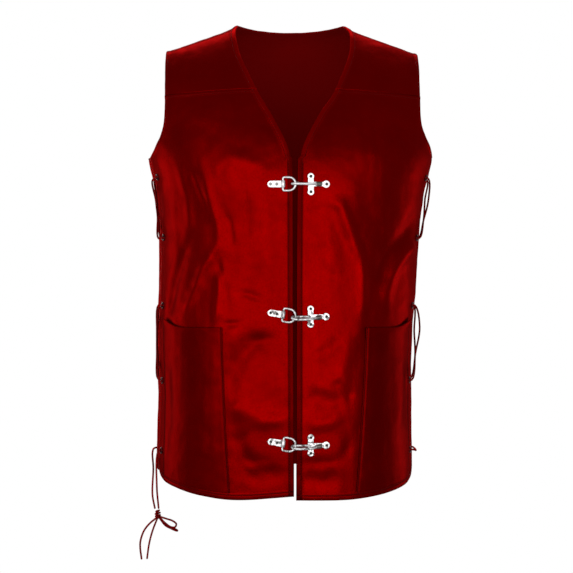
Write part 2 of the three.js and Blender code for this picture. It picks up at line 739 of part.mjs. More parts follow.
// One lace on each side. Each row of points is one crossing, from an eyelet of one edge to an eyelet
// of the other: through the leather, over the gap and to the next hole.
const LACE_LEFT = [
  [[161, -27, -611.5], [166, -12, -575], [164, 6, -532]], // up inside, from the knot
  [[166, 15.5, -506], [177, 17.6, -506], [183, 6, -468], [186, -20, -430]], // back 4, outside
  [[177, -37.7, -399], [166.6, -33.7, -398.5], [168, -18, -365], [170, 2, -330]], // front 3, inside
  [[177.6, 15, -301.5], [188.3, 17.5, -302.3], [195, 8, -275], [199, -18, -246]], // back 2, outside
  [[196.2, -38.7, -216.8], [186.3, -34.7, -214.2], [184, -10, -211]], // front 1, bar inside
  [[191, 15.4, -214], [201.4, 17.8, -216.9], [196.5, 4, -245], [191.5, -20, -276]], // back 1, outside
  [[183.5, -38, -302.3], [173.2, -34, -301.5], [163, -16, -335], [161, 4, -370]], // front 2, inside
  [[170.9, 15, -398.5], [181.6, 17.4, -399.3], [180.5, 2, -437], [179, -22, -472]], // back 3, outside
  [[172.5, -38.3, -506], [162.2, -34.6, -506], [156, -16, -538], [157, 4, -574]], // front 4, inside
  [[167.3, 15.7, -606], [178.1, 17.7, -606], [181.5, -10, -609]], // back 5, bar outside
  [[173.5, -38.4, -606], [163.2, -34.7, -606], [158, -30.5, -611.5]], // front 5, to the knot
];
const LACE_RIGHT = [
  [[-190.4, -43, -687.5], [-193, -43, -655]], // up from the bow's knot
  [[-190.3, -38.7, -606], [-179.6, -34.4, -606], [-180, -14, -574], [-178, 5, -533]], // front 5, inside
  [[-182.6, 15.2, -505.8], [-193.4, 17.6, -506.2], [-199.5, 4, -468], [-199.5, -20, -432]], // back 4
  [[-187.9, -37.8, -399], [-177.8, -33.6, -399.4], [-174, -18, -366], [-174, 2, -332]], // front 3
  [[-181, 15, -301.8], [-191.7, 17.5, -302.2], [-197.5, 6, -272], [-199.5, -18, -244]], // back 2
  [[-195.4, -38.7, -216.6], [-185.4, -34.7, -214.4], [-183, -10, -211]], // front 1, bar inside
  [[-190, 15.4, -214.3], [-200.6, 17.8, -216.7], [-197, 3, -246], [-192.5, -21, -276]], // back 1
  [[-186.8, -38, -302.2], [-176.5, -34, -301.8], [-167, -16, -336], [-167, 4, -370]], // front 2
  [[-182.3, 15, -399.4], [-193, 17.5, -399], [-196.5, 3, -436], [-193, -22, -472]], // back 3
  [[-188.5, -38.4, -506.2], [-178.2, -34.3, -505.8], [-170, -16, -540], [-171, 4, -574]], // front 4
  [[-184.2, 15.6, -606], [-195, 17.8, -606], [-199.5, -8, -611]], // back 5, round the edge outside
  [[-198, -36, -632], [-199.2, -43, -668], [-195.8, -42.5, -687.5]], // down to the bow's knot
];
const BOW_LOOPS = [
  [
    [-188, -43, -700],
    [-178, -45, -703],
    [-170.5, -46, -705.5],
    [-165.3, -46, -710],
    [-167, -45, -714.5],
    [-173, -43.5, -714.5],
    [-181, -42, -709],
    [-189, -41, -701],
  ],
  [
    [-189.5, -40.5, -701.5],
    [-181, -39.5, -712.5],
    [-173, -40, -717],
    [-165, -39, -720.5],
    [-163.6, -36.5, -720.5],
    [-166, -34, -719],
    [-174, -33.5, -715.5],
    [-183, -35, -709],
    [-190, -39.5, -700],
  ],
];
const BOW_TAILS = [
  [
    [-193, -42.5, -701],
    [-203.8, -44, -710],
    [-211.4, -44, -720],
    [-216.2, -43, -734.4],
    [-216.6, -42, -744],
    [-214.7, -41, -759.8],
  ],
  [
    [-192.5, -41, -703],
    [-199, -39, -720],
    [-203.9, -38, -738.7],
    [-206.9, -37, -759.8],
  ],
];
const BOW_KNOT = { centre: [-191.5, -42, -697], radii: [5, 4.5, 8.2] };
const LEFT_KNOT = { centre: [159.6, -29, -617], radii: [4.4, 3.8, 3.6] };

const cord = (points, stepsPerStretch) => rod(points, CORD_RADIUS, CORD_SIDES, stepsPerStretch);

function knot({ centre, radii }) {
  return new THREE.SphereGeometry(1, CORD_SIDES, 6).scale(...radii).translate(...centre);
}

add('lace_left', cord(LACE_LEFT.flat(), 2), CORD);
add('lace_left_knot', knot(LEFT_KNOT), CORD);
add('lace_right', cord(LACE_RIGHT.flat(), 2), CORD);
const bow = [...BOW_LOOPS.map((points) => cord(points, 1)), ...BOW_TAILS.map((points) => cord(points, 2))];
add('lace_right_bow', joined([knot(BOW_KNOT), ...bow]), CORD);

export default group;
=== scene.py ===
"""Looks of a lace-up leather vest, made over the CAD parts of its frame.

The vest's body is a stack of level sections from hem to shoulder ridge. A point on it has a level,
counted in rows of SECTIONS, and a turn, in degrees round from the centre front towards the wearer's
left. Each leather panel is a fine grid of such points, moved out or in along the body's normal by its
turned edges, its stitched grooves and its folds.

The tables and the shape functions are in millimetres in the row frame: +Z is up, -Y is the front and
+X is the wearer's left. Meshes are made in metres.
"""

import math

import bmesh
import bpy
import numpy as np
from bpy.props import FloatProperty, FloatVectorProperty, PointerProperty
from mathutils import Matrix, Vector, noise


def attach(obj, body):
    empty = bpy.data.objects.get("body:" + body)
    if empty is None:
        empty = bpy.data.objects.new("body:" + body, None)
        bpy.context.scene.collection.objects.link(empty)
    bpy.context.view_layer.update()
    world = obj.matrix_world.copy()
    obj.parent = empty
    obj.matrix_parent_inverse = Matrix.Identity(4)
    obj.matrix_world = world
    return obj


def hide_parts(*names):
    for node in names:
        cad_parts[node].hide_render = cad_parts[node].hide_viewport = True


bl_info = {
    "name": "Laced Leather Vest",
    "version": (1, 0, 0),
    "blender": (4, 5, 0),
    "location": "View3D > Sidebar > Vest",
    "description": "Makes a laced leather vest with hook clasps over its CAD frame",
    "category": "Object",
}

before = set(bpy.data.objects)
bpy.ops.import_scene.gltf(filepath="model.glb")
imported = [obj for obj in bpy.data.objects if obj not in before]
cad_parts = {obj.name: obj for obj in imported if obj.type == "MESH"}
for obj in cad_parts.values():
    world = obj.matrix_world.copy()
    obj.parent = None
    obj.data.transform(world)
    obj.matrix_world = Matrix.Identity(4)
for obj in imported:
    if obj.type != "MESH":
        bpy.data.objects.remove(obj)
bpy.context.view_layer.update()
BODY = "root"
MM = 0.001
DEG = math.pi / 180

# ---------------------------------------------------------------- driving sizes

# Sizes are the solids' own, but for SEWN_GAP and for NECKLINE, which is narrower down the opening.
WALL = 2.0
POCKET_WALL = 1.6
GAP = 0.3  # between pieces that touch
SEWN_GAP = 0.02  # between leather pieces sewn edge to edge, too narrow to let light through
RIM = 0.9  # how far a turned edge stands proud
STAND_WIDTH = 14.0  # how far from the neck edge the stand dies out

SECTION_KEYS = ("height", "right", "left", "front", "back", "power", "slope", "stand")
SECTIONS = np.array(
    [
        (-690, 194, 177, 120, 106, 2.2, 0, 0),
        (-610, 193, 176, 122, 106, 2.2, 0, 0),
        (-530, 191, 175, 122, 103, 2.2, 0, 0),
        (-450, 193, 176, 120, 99, 2.2, 0, 0),
        (-370, 190, 182, 118, 97, 2.2, 0, 0),
        (-295, 190, 187, 120, 99, 2.2, 0, 0),
        (-235, 195, 195, 124, 103, 2.2, 0, 0),
        (-187, 205, 207, 121, 106, 2.2, 0, 0),
        (-140, 208, 211, 109, 106, 2.25, 0.02, 0),
        (-94, 210, 214, 90, 101, 2.35, 0.06, 0),
        (-52, 211, 216, 67, 89, 2.5, 0.16, 0),
        (-22, 212, 217, 44, 72, 2.6, 0.26, 0),
        (-5, 212, 218, 25, 52, 2.6, 0.32, 1),
        (1, 212, 218, 11, 30, 2.6, 0.345, 2.4),
        (3, 212, 218, 0, 0, 2.6, 0.35, 3),
    ],
    float,
)
RIDGE = len(SECTIONS) - 1.0  # level of the shoulder ridge

ARMHOLE_BASE = -187.0
YOKE_SEAM = -94.0
POCKET_MOUTH = -429.0
POCKET_MOUTH_RISE = 15.0  # at the outer corner of the pocket
LACED_BAND = 22.0  # the strip along a laced edge that holds the eyelets, clear of the pocket
FRONT_SIDE_TURN = 80.0
BACK_SIDE_TURN = 92.0
NECK_BACK_DEPTH = 42.0
NECK_BACK_HALF = 76.5

# Edges as (height, half-width on the right, half-width on the left).
NECKLINE = (
    (-690, 2, 2), (-640, 1.5, 1.5), (-230, 2.9, 2.9), (-200, 5, 5.4), (-180, 9, 9.6), (-160, 17, 18),
    (-128, 33.5, 36), (-98, 50.5, 56.5), (-48, 72.5, 78), (-20, 79, 83.5), (-4, 80, 83), (3, 76, 77),
)
ARMHOLE_FRONT = (
    (-187, 202.2, 204.2), (-171, 194.5, 198.5), (-155, 187.5, 190.5), (-133, 182.6, 183.5),
    (-98, 182, 182.6), (-30, 181.4, 183.4), (3, 180, 184),
)
ARMHOLE_BACK = (
    (-187, 205, 207), (-165, 192, 194), (-133, 182, 184), (-98, 177, 178), (-30, 179, 181), (3, 180, 184),
)
POCKET_LINE = ((-690, 89, 84), (-429, 101, 100), (-94, 96, 100), (3, 96, 100))
# Hem height by turn, from the centre front or the centre back, on the right and on the left.
HEM_FRONT = (
    (0, -664.5, -670), (22, -670, -670.5), (40, -665.5, -666), (58, -656, -658), (70, -648, -650),
    (77, -637, -640), (80, -624, -627),
)
HEM_BACK = ((0, -638, -638), (70, -640, -640), (84, -636, -636), (88, -628, -628))

EYELET_HEIGHTS = (-216, -302, -399, -506, -606)
EYELET_INSET = 13.0
EYELET_HOLE = 3.3

# ---------------------------------------------------------------- the body's surface


def smooth(column, level):
    """A column's value at levels counted in rows, on a smooth curve through the rows."""
    last = len(column) - 1
    held = np.clip(level, 0, last)
    row = np.minimum(held.astype(int), last - 1)
    part = held - row
    before, low, high, after = (column[np.clip(row + step, 0, last)] for step in (-1, 0, 1, 2))
    rise = (high - before) / 2
    fall = (after - low) / 2
    cubic = 2 * (low - high) + rise + fall
    return low + part * (rise + part * (3 * (high - low) - 2 * rise - fall + part * cubic))


def section(key, level):
    return smooth(SECTIONS[:, SECTION_KEYS.index(key)], np.asarray(level, float))


FINE_LEVELS = np.linspace(0, RIDGE, 6001)
FINE_HEIGHTS = section("height", FINE_LEVELS)


def level_at(height):
    return np.interp(height, FINE_HEIGHTS, FINE_LEVELS)


def by_side(table):
    """A function of the table's first column and a side, from the table's smooth curve."""
    rows = np.array(table, float)
    fine = np.linspace(0, len(rows) - 1, 900)
    first, right, left = (smooth(rows[:, k], fine) for k in range(3))

    def value_at(value, side):
        return np.where(side < 0, np.interp(value, first, right), np.interp(value, first, left))

    return value_at


neck_half = by_side(NECKLINE)
armhole_front_half = by_side(ARMHOLE_FRONT)
armhole_back_half = by_side(ARMHOLE_BACK)
pocket_half = by_side(POCKET_LINE)
hem_front_height = by_side(HEM_FRONT)
hem_back_height = by_side(HEM_BACK)


def surface(level, turn):
    """Points of the body, in millimetres."""
    level, turn = np.broadcast_arrays(np.asarray(level, float), np.asarray(turn, float))
    sine, cosine = np.sin(turn * DEG), np.cos(turn * DEG)
    exponent = 2 / section("power", level)
    half = np.where(sine < 0, section("right", level), section("left", level))
    x = half * np.sign(sine) * np.abs(sine) ** exponent
    depth = np.where(cosine > 0, -section("front", level), section("back", level))
    y = depth * np.abs(cosine) ** exponent
    beyond = np.maximum(0, np.abs(x) - NECK_BACK_HALF)
    stand = section("stand", level) * np.exp(-((beyond / STAND_WIDTH) ** 2))
    z = section("height", level) - section("slope", level) * beyond + stand
    return np.stack([x, y, z], axis=-1)


def turn_at_x(level, x, back=False):
    x = np.asarray(x, float)
    half = np.where(x < 0, section("right", level), section("left", level))
    sine = np.minimum(1, np.abs(x) / half) ** (section("power", level) / 2)
    turn = np.arcsin(sine) / DEG
    return 180 - np.sign(x) * turn if back else np.sign(x) * turn


TURN_STEP = 0.05
LEVEL_STEP = 0.004


def outward(level, turn):
    """Unit normals of the body. On the shoulder ridge they stay in its own upright plane."""
    low = np.minimum(level, RIDGE - LEVEL_STEP)
    along = surface(low, turn + TURN_STEP) - surface(low, turn - TURN_STEP)
    up = surface(low + LEVEL_STEP, turn) - surface(low - LEVEL_STEP, turn)
    normal = np.cross(along, up)
    on_ridge = np.broadcast_to(np.asarray(level > RIDGE - LEVEL_STEP), normal.shape[:-1])
    normal[..., 1] = np.where(on_ridge, 0, normal[..., 1])
    return normal / np.linalg.norm(normal, axis=-1, keepdims=True)


def turn_per_mm(level, turn):
    step = surface(level, turn + TURN_STEP) - surface(level, turn - TURN_STEP)
    return 2 * TURN_STEP / np.linalg.norm(step, axis=-1)


def level_per_mm(level, turn):
    low = np.minimum(level, RIDGE - LEVEL_STEP)
    step = surface(low + LEVEL_STEP, turn) - surface(low - LEVEL_STEP, turn)
    return 2 * LEVEL_STEP / np.linalg.norm(step, axis=-1)


def distance_to(points, line):
    """How far each point is from a line of straight stretches, and how far along the line, 0 to 1."""
    line = np.asarray(line, float)
    start, along = line[:-1], np.diff(line, axis=0)
    length = np.linalg.norm(along, axis=1)
    upto = np.concatenate([[0], np.cumsum(length)])
    nearest = np.full(len(points), np.inf)
    where = np.zeros(len(points))
    for begin, step, size, done in zip(start, along, length, upto):
        share = np.clip((points - begin) @ step / max(size, 1e-9) ** 2, 0, 1)
        gap = np.linalg.norm(points - begin - share[:, None] * step, axis=1)
        closer = gap < nearest
        nearest = np.where(closer, gap, nearest)
        where = np.where(closer, (done + share * size) / upto[-1], where)
    return nearest, where


def ease(value, low, high):
    share = np.clip((value - low) / (high - low), 0, 1)
    return share * share * (3 - 2 * share)


# ---------------------------------------------------------------- folds

# Folds of the filled-out leather: how far each stands out (a trough is negative), its half-width, and
# its course as (turn, height).
FOLDS_FRONT = (
    (1.5, 8, ((-54, -190), (-52, -208), (-51, -229), (-49, -253), (-49, -282), (-52, -312))),
    (-2.6, 9, ((-48, -300), (-55, -338), (-61, -375), (-66, -418))),
    (1.8, 7, ((-38, -196), (-37, -228), (-35, -258), (-32, -288), (-32, -310), (-36, -332))),
    (2.6, 7, ((-35, -322), (-41, -350), (-46, -380), (-53, -414))),
    (-1.0, 4, ((-44, -205), (-42, -232), (-37, -262))),
    (2.4, 8, ((-30, -346), (-31, -372), (-32, -400), (-33, -428))),
    (1.6, 12, ((-28, -196), (-24, -192), (-16, -200), (-10, -214))),
    (-1.0, 5, ((-20, -215), (-18, -262), (-19, -330))),
    (1.2, 7, ((-12, -236), (-13, -290), (-12, -350))),
    (-1.0, 4, ((-29, -262), (-26, -290), (-25, -322))),
    (-1.1, 4, ((-33, -330), (-30, -360), (-27, -392))),
    (-1.4, 5, ((-21, -380), (-16, -385), (-12, -392))),
    (-1.2, 4, ((-29, -423), (-25, -425), (-21, -422))),
    (-3.4, 15, ((-7, -434), (-13, -446), (-19, -462), (-25, -490), (-28, -526))),
    (2.0, 13, ((-26, -530), (-23, -542), (-12, -556))),
    (-2.2, 13, ((-23, -566), (-20, -600), (-19, -650))),
    (-2.8, 11, ((-3, -598), (-8, -600), (-14, -606), (-20, -620))),
    (1.6, 11, ((-3, -560), (-9, -558), (-15, -564))),
    (-1.8, 12, ((-3, -634), (-12, -634), (-20, -642))),
    (2.8, 9, ((10, -214), (14, -238), (19, -272), (24, -307), (28, -338), (30, -391), (29, -430))),
    (-1.8, 17, ((27, -222), (32, -262), (37, -300), (41, -340), (44, -392))),
    (1.6, 14, ((8, -262), (13, -310), (15, -360))),
    (3.4, 10, ((78, -306), (66, -318), (58, -328), (49, -352), (45, -378), (46, -410))),
    (-2.4, 12, ((70, -262), (56, -296), (46, -322), (39, -352))),
    (-2.5, 18, ((84, -165), (84, -235), (82, -290))),
    (-1.2, 11, ((6, -470), (13, -462), (21, -446))),
    (-1.6, 12, ((4, -520), (12, -530), (22, -528))),
    (1.6, 12, ((22, -430), (21, -480), (18, -540))),
    (-3.4, 15, ((1, -604), (9, -608), (17, -600), (26, -584))),
    (1.6, 12, ((4, -566), (12, -568), (21, -550))),
    (-1.6, 9, ((16, -500), (21, -520), (27, -528))),
    (-2.2, 13, ((2, -636), (10, -642), (20, -638))),
    (-1.5, 9, ((70, -460), (66, -520), (64, -590))),
    (-1.5, 9, ((-68, -470), (-64, -540), (-66, -600))),
)
FOLDS_BACK = (
    (-4.0, 17, ((108, -196), (121, -225), (133, -262), (142, -300))),
    (-4.2, 16, ((252, -196), (240, -228), (226, -270), (218, -312))),
    (2.6, 14, ((104, -250), (112, -320), (110, -400))),
    (2.8, 14, ((256, -260), (247, -335), (250, -410))),
    (-2.4, 16, ((150, -330), (160, -352), (176, -360), (190, -352))),
    (-2.2, 14, ((206, -372), (190, -392), (172, -396))),
    (2.2, 15, ((160, -410), (178, -420), (198, -412))),
    (-2.6, 15, ((140, -420), (147, -480), (143, -560))),
    (-2.4, 15, ((222, -430), (215, -500), (219, -580))),
    (2.2, 18, ((172, -500), (175, -570), (173, -636))),
    (1.8, 15, ((196, -520), (193, -590), (195, -636))),
    (-1.6, 13, ((184, -505), (184, -570), (185, -630))),
    (-2.0, 20, ((150, -120), (165, -150), (180, -158), (197, -150), (210, -120))),
    (1.8, 15, ((128, -100), (136, -150), (140, -210))),
    (1.8, 15, ((232, -104), (224, -156), (221, -214))),
)
CLASP_HEIGHTS = {"top": -229.5, "middle": -414, "bottom": -593}
CLASP_REACH = (-44.0, 50.0)  # how far the clasps reach over the leather, across the centre front
CLASP_HOLD = (12, 34)  # the leather is flat up to the first distance and free from the second
EYELET_HOLD = (7, 22)


def fold_height(points, folds):
    """How far the leather stands out at each point because of its folds."""
    total = np.zeros(len(points))
    for depth, width, course in folds:
        turns, heights = np.array(course, float).T
        fine = np.linspace(0, len(course) - 1, 6 * (len(course) - 1) + 1)
        turns, heights = smooth(turns, fine), smooth(heights, fine)
        line = surface(level_at(heights), turns)
        gap, along = distance_to(points, line)
        ends = ease(along, 0, 0.25) * ease(1 - along, 0, 0.25)
        total += depth * np.exp(-((gap / width) ** 2)) * (0.25 + 0.75 * ends)
    return total


def held_flat(points, back):
    """0 where clasps and eyelets hold the leather flat, and 1 where it is free."""
    free = np.ones(len(points))
    for height in CLASP_HEIGHTS.values() if not back else ():
        level = level_at(height)
        line = surface(level, turn_at_x(level, np.linspace(*CLASP_REACH, 9)))
        free = np.minimum(free, ease(distance_to(points, line)[0], *CLASP_HOLD))
    for spot in eyelet_spots("back" if back else "front"):
        free = np.minimum(free, ease(np.linalg.norm(points - spot, axis=1), *EYELET_HOLD))
    return free


def eyelet_spots(panel):
    places = [eyelet_place(panel, side, height) for side in (-1, 1) for height in EYELET_HEIGHTS]
    return [surface(*place) for place in places]


def eyelet_place(panel, side, height):
    """Level and turn of an eyelet, inset from the laced edge of the front or the back."""
    level = level_at(height)
    if panel == "back":
        edge = BACK_SIDE_TURN if side > 0 else 360 - BACK_SIDE_TURN
        return level, edge + side * EYELET_INSET * turn_per_mm(level, edge)
    edge = side * FRONT_SIDE_TURN
    return level, edge - side * EYELET_INSET * turn_per_mm(level, edge)


def unevenness(points, depth):
    """Slow unevenness of leather that has seen long use, with faint streaks down it."""
    spots = [
        noise.noise(Vector(p) / 34.0)
        + 0.45 * noise.noise(Vector(p) / 13.0 + Vector((7, 3, 1)))
        + 0.4 * noise.noise(Vector((p[0] / 11.0, p[1] / 11.0, p[2] / 70.0)))
        for p in points
    ]
    return depth * np.array(spots)


# ---------------------------------------------------------------- shader maths


class Value:
    """A shader socket that arithmetic can be written on."""

    def __init__(self, shader, socket):
        self.shader, self.socket = shader, socket

    def _math(self, operation, *values):
        return self.shader.node("ShaderNodeMath", {"operation": operation}, dict(enumerate(values)))

    def __add__(self, other):
        return self._math("ADD", self, other)

    def __sub__(self, other):
        return self._math("SUBTRACT", self, other)

    def __rsub__(self, other):
        return self._math("SUBTRACT", other, self)

    def __mul__(self, other):
        return self._math("MULTIPLY", self, other)

    def __pow__(self, other):
        return self._math("POWER", self, other)

    __radd__ = __add__
    __rmul__ = __mul__

    def between(self, low, high):
        """0 at low, 1 at high, smooth between."""
        inputs = {"Value": self, "From Min": low, "From Max": high}
        return self.shader.node("ShaderNodeMapRange", {"interpolation_type": "SMOOTHSTEP"}, inputs)


class Shader:
    """A material whose nodes are made from expressions."""

    def __init__(self, name):
        self.material = bpy.data.materials.new(name)
        self.material.use_nodes = True
        self.tree = self.material.node_tree
        self.surface = self.tree.nodes["Principled BSDF"]
        self.place = self.node("ShaderNodeTexCoord", output="Object")

    def node(self, kind, settings=(), inputs=(), output=0):
        node = self.tree.nodes.new(kind)
        for key, value in dict(settings).items():
            setattr(node, key, value)
        for key, value in dict(inputs).items():
            self.feed(node.inputs[key], value)
        return Value(self, node.outputs[output])

    def feed(self, socket, value):
        if isinstance(value, Value):
            self.tree.links.new(value.socket, socket)
        else:
            socket.default_value = value

    def noise(self, scale, detail=2.0, rough=0.5, place=None, stretch=None):
        where = place or self.place
        if stretch:
            where = self.node("ShaderNodeMapping", {}, {"Vector": where, "Scale": stretch})
        sizes = {"Vector": where, "Scale": scale, "Detail": detail, "Roughness": rough}
        return self.node("ShaderNodeTexNoise", {}, sizes)

    def cells(self, scale, feature="DISTANCE_TO_EDGE"):
        sizes = {"Vector": self.place, "Scale": scale}
        return self.node("ShaderNodeTexVoronoi", {"feature": feature}, sizes)

    def mix(self, share, low, high):
        return self.node("ShaderNodeMix", {"data_type": "RGBA"}, {0: share, 6: low, 7: high}, output=2)

    def stored(self, name):
        return self.node("ShaderNodeAttribute", {"attribute_name": name}, output="Fac")

    def bump(self, height, distance, strength=1.0, normal=None):
        inputs = {"Height": height, "Distance": distance, "Strength": strength}
        if normal:
            inputs["Normal"] = normal
        return self.node("ShaderNodeBump", {}, inputs, output="Normal")

    def finish(self, **inputs):
        for key, value in inputs.items():
            self.feed(self.surface.inputs[key.replace("_", " ")], value)
        return self.material


def shade(colour, factor):
    return (*(min(1.0, c * factor) for c in colour[:3]), 1.0)


# ---------------------------------------------------------------- materials


def leather_material(settings):
    """Smooth waxed leather: fine grain, soft creases, a cloudy colour that differs at random, and painted
    light: turned bands made darker or lighter, painted shade in grooves, along seams and where the leather
    sinks, and painted highlights along edges and where it stands out.
    """
    leather = Shader("waxed_leather")
    colour = tuple(settings.colour)
    pores = leather.cells(820.0)
    grain = leather.noise(520.0, 3.0, 0.6)
    creases = leather.noise(85.0, 4.0, 0.62, stretch=(1.0, 1.0, 0.45))
    cloudy = leather.noise(16.0, 3.0, 0.55)
    painted_light = leather.stored("painted_light")
    # painted light from the panels, mottled by a cloudy colour that differs at random
    painted_light_and_mottle = painted_light * (0.86 + 0.3 * cloudy)
    base = leather.mix(painted_light_and_mottle.between(0.0, 2.0), shade(colour, 0.05), shade(colour, 2.2))
    normal = leather.bump(grain * 0.5 + pores.between(0.0, 0.14), 0.000025)
    normal = leather.bump(creases, 0.0005, 0.5, normal)
    roughness = settings.roughness - 0.07 + 0.16 * creases + 0.06 * grain
    return leather.finish(
        Base_Color=base,
        Roughness=roughness,
        Normal=normal,
        Metallic=settings.sheen,
        Specular_IOR_Level=0.5,
        Specular_Tint=(1.0, 0.0, 0.0, 1.0),
    )


def flesh_material(settings):
    """The rough inner face of the leather."""
    flesh = Shader("leather_inside")
    colour = tuple(settings.flesh_colour)
    fibres = flesh.noise(260.0, 5.0, 0.7)
    cloudy = flesh.noise(12.0, 3.0)
    base = flesh.mix(cloudy * 0.7 + 0.3 * fibres, shade(colour, 0.72), shade(colour, 1.25))
    return flesh.finish(
        Base_Color=base,
        Roughness=0.78,
        Normal=flesh.bump(fibres, 0.0002, 0.8),
        Specular_Tint=(1.0, 0.05, 0.05, 1.0),
        # a faint red glow, a painted light that lifts the inner face where it lies in shade
        Emission_Color=(1.0, 0.0, 0.0, 1.0),
        Emission_Strength=0.022,
    )


def thread_material(settings):
    thread = Shader("thread")
    twist = thread.noise(2400.0, 2.0)
    colour = tuple(settings.thread_colour)
    base = thread.mix(twist, shade(colour, 0.7), shade(colour, 1.25))
    normal = thread.bump(twist, 0.00008)
    return thread.finish(
        Base_Color=base, Roughness=0.5, Normal=normal, Specular_Tint=(1.0, 0.1, 0.1, 1.0)
    )


def metal_material(name, colour, roughness, patina_and_painted_shade):
    """Polished metal, a little dull and tarnished in patches (strong patches on the lower clasps, which
    are painted shade), and painted shade where the painted light attribute is 1.
    """
    metal = Shader(name)
    # dull patches of patination; on the lower clasps, whose patches are strong, they are painted shade
    dull = metal.noise(210.0, 3.0, 0.6).between(0.46, 0.62)
    scratches = metal.noise(900.0, 2.0, 0.6, stretch=(0.3, 1.0, 1.0))
    tarnish_and_painted_shade = shade((colour[0], 0.9 * colour[1], 0.78 * colour[2]), 0.1)
    base = metal.mix(dull * patina_and_painted_shade, (*colour[:3], 1.0), tarnish_and_painted_shade)
    # painted shade in the rivets' recessed middles, where the painted light attribute is 1
    base = metal.mix(metal.stored("painted_light"), base, shade(colour, 0.03))
    return metal.finish(
        Base_Color=base,
        Roughness=roughness + (0.12 * patina_and_painted_shade) * dull + 0.05 * scratches,
        Normal=metal.bump(scratches, 0.00002),
        Metallic=1.0,
    )


TWISTS_PER_M = 320.0


def lace_material(settings):
    """Waxed cord with a twist that runs round and along it."""
    lace = Shader("waxed_cord")
    route = lace.node("ShaderNodeUVMap", {"uv_map": "along"})
    parts = lace.tree.nodes.new("ShaderNodeSeparateXYZ")
    lace.feed(parts.inputs[0], route)
    round_it, along_it = Value(lace, parts.outputs[0]), Value(lace, parts.outputs[1])
    angle = (round_it + along_it * TWISTS_PER_M) * (2 * math.pi)
    twist = lace.node("ShaderNodeMath", {"operation": "SINE"}, {0: angle})
    ridges = twist * 0.5 + 0.5
    colour = tuple(settings.lace_colour)
    # the cord is painted darker in the grooves of its twist, as shade, with a colour that also differs at
    # random
    share = ridges * 0.6 + 0.4 * lace.noise(500.0, 2.0)
    base = lace.mix(share, shade(colour, 0.55), shade(colour, 1.25))
    return lace.finish(
        Base_Color=base,
        Roughness=0.42,
        Normal=lace.bump(ridges, 0.00016, 0.8),
        Metallic=0.95,
        Specular_Tint=(1.0, 0.02, 0.02, 1.0),
    )


# ---------------------------------------------------------------- meshes


def make_object(name, points_mm, faces, materials, face_material=None, painted_light=None):
    mesh = bpy.data.meshes.new(name)
    mesh.from_pydata((np.asarray(points_mm) * MM).tolist(), [], faces)
    for material in materials:
        mesh.materials.append(material)
    if face_material is not None:
        mesh.polygons.foreach_set("material_index", face_material)
    mesh.polygons.foreach_set("use_smooth", [True] * len(mesh.polygons))
    if painted_light is not None:
        values = mesh.attributes.new("painted_light", "FLOAT", "POINT").data
        values.foreach_set("value", np.asarray(painted_light, np.float32))
    mesh.update()
    thing = bpy.data.objects.new(name, mesh)
    bpy.context.scene.collection.objects.link(thing)
    return thing


def ridden(thing, slot_name, *nodes):
    """A finished piece that stands for its CAD nodes and moves with the body."""
    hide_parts(*nodes)
    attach(thing, BODY)
    return thing


SETTLING_ROUNDS = 7


def settled(rows, columns, level):
    """Levels and turns of a grid's nodes. A row gives a level from turns and x, and a column gives a turn
    from levels, and they settle together in a few rounds."""
    for _ in range(SETTLING_ROUNDS):
        turn = np.stack([column(level[:, c]) for c, column in enumerate(columns)], axis=1)
        x = surface(level, turn)[..., 0]
        level = np.stack([row(turn[r], x[r]) for r, row in enumerate(rows)])
    return level, np.stack([column(level[:, c]) for c, column in enumerate(columns)], axis=1)


def grid_of(rows, columns):
    """The grid of a panel, settled from its middle column out."""
    middle = len(columns) // 2
    level, _ = settled(rows, columns[middle : middle + 1], np.full((len(rows), 1), RIDGE / 2))
    return settled(rows, columns, np.repeat(level, len(columns), axis=1))


def above(line, mm):
    def row(turn, x):
        level = line(turn, x)
        return level + mm * level_per_mm(level, turn)

    return row


def between(first, last, share):
    return lambda *at: first(*at) * (1 - share) + last(*at) * share


def inset(edge, mm):
    """A column this far round from an edge."""

    def column(level):
        turn = edge(level)
        return turn + mm * turn_per_mm(level, turn)

    return column


EDGE_ROLL = 1.2  # how far in from an edge its round reaches
EDGE_ROLL_DEPTH = 0.7
GROOVE = 0.5  # depth that stitches pull into the leather
GROOVE_HALF = 0.6
GROOVE_PAINTED_SHADE = 0.25
LINE_HALF = 1.2  # half-width of the painted line along an edge or a seam: a painted highlight on a turned band's edge, and painted shade along a seam
LINE_PAINTED_HIGHLIGHT, LINE_LEAST = 1.7, 0.15  # painted highlight: how much lighter that line is on a band, and the least shade it counts
NECK_PAINTED_HIGHLIGHT = -0.28  # how much darker a turned band is than the leather beside it; below 0 it is lighter, and round the neck that is a painted highlight on its rounded edge
OPENING_SHADE = 0.45
HEM_SHADE = 0.16
SIDE_SHADE = -0.12
# painted shade along seams and along the pockets' edges
SEAM_PAINTED_SHADE = 0.13
UNEVEN = 0.7
BAND = 8.2  # width of the turned edge down the front, round the neck and along the hem
BAND_STITCH = 7.0
SIDE_BAND = 5.6  # the same along laced edges and armholes
SIDE_STITCH = 4.3
EDGE_STEPS = (0, 0.35, 1.0, 2.0, 3.2, 3.9, 4.3, 4.7, 5.4, 6.2, 6.6, 7.0, 7.4, 7.9, 8.5, 9.3, 10.4)
EYELET_STEPS = (11.4, 12.3, 13.1, 13.9, 14.8, 15.8, 17.0, 18.6)
SPACING = 3.3  # of a panel's grid away from its edges


def columns_through(knots, lengths, first_steps, last_steps, spacing):
    """Columns from the first edge to the last, close beside the edges and even between the knots."""
    first, last = knots[0], knots[-1]
    columns = [inset(first, mm) for mm in first_steps]
    bounds = [inset(first, first_steps[-1]), *knots[1:-1], inset(last, -last_steps[-1])]
    for low, high, length in zip(bounds, bounds[1:], lengths):
        count = max(2, round(length / spacing))
        columns += [between(low, high, (i + 1) / count) for i in range(count)]
    return columns + [inset(last, -mm) for mm in reversed(last_steps[:-1])]


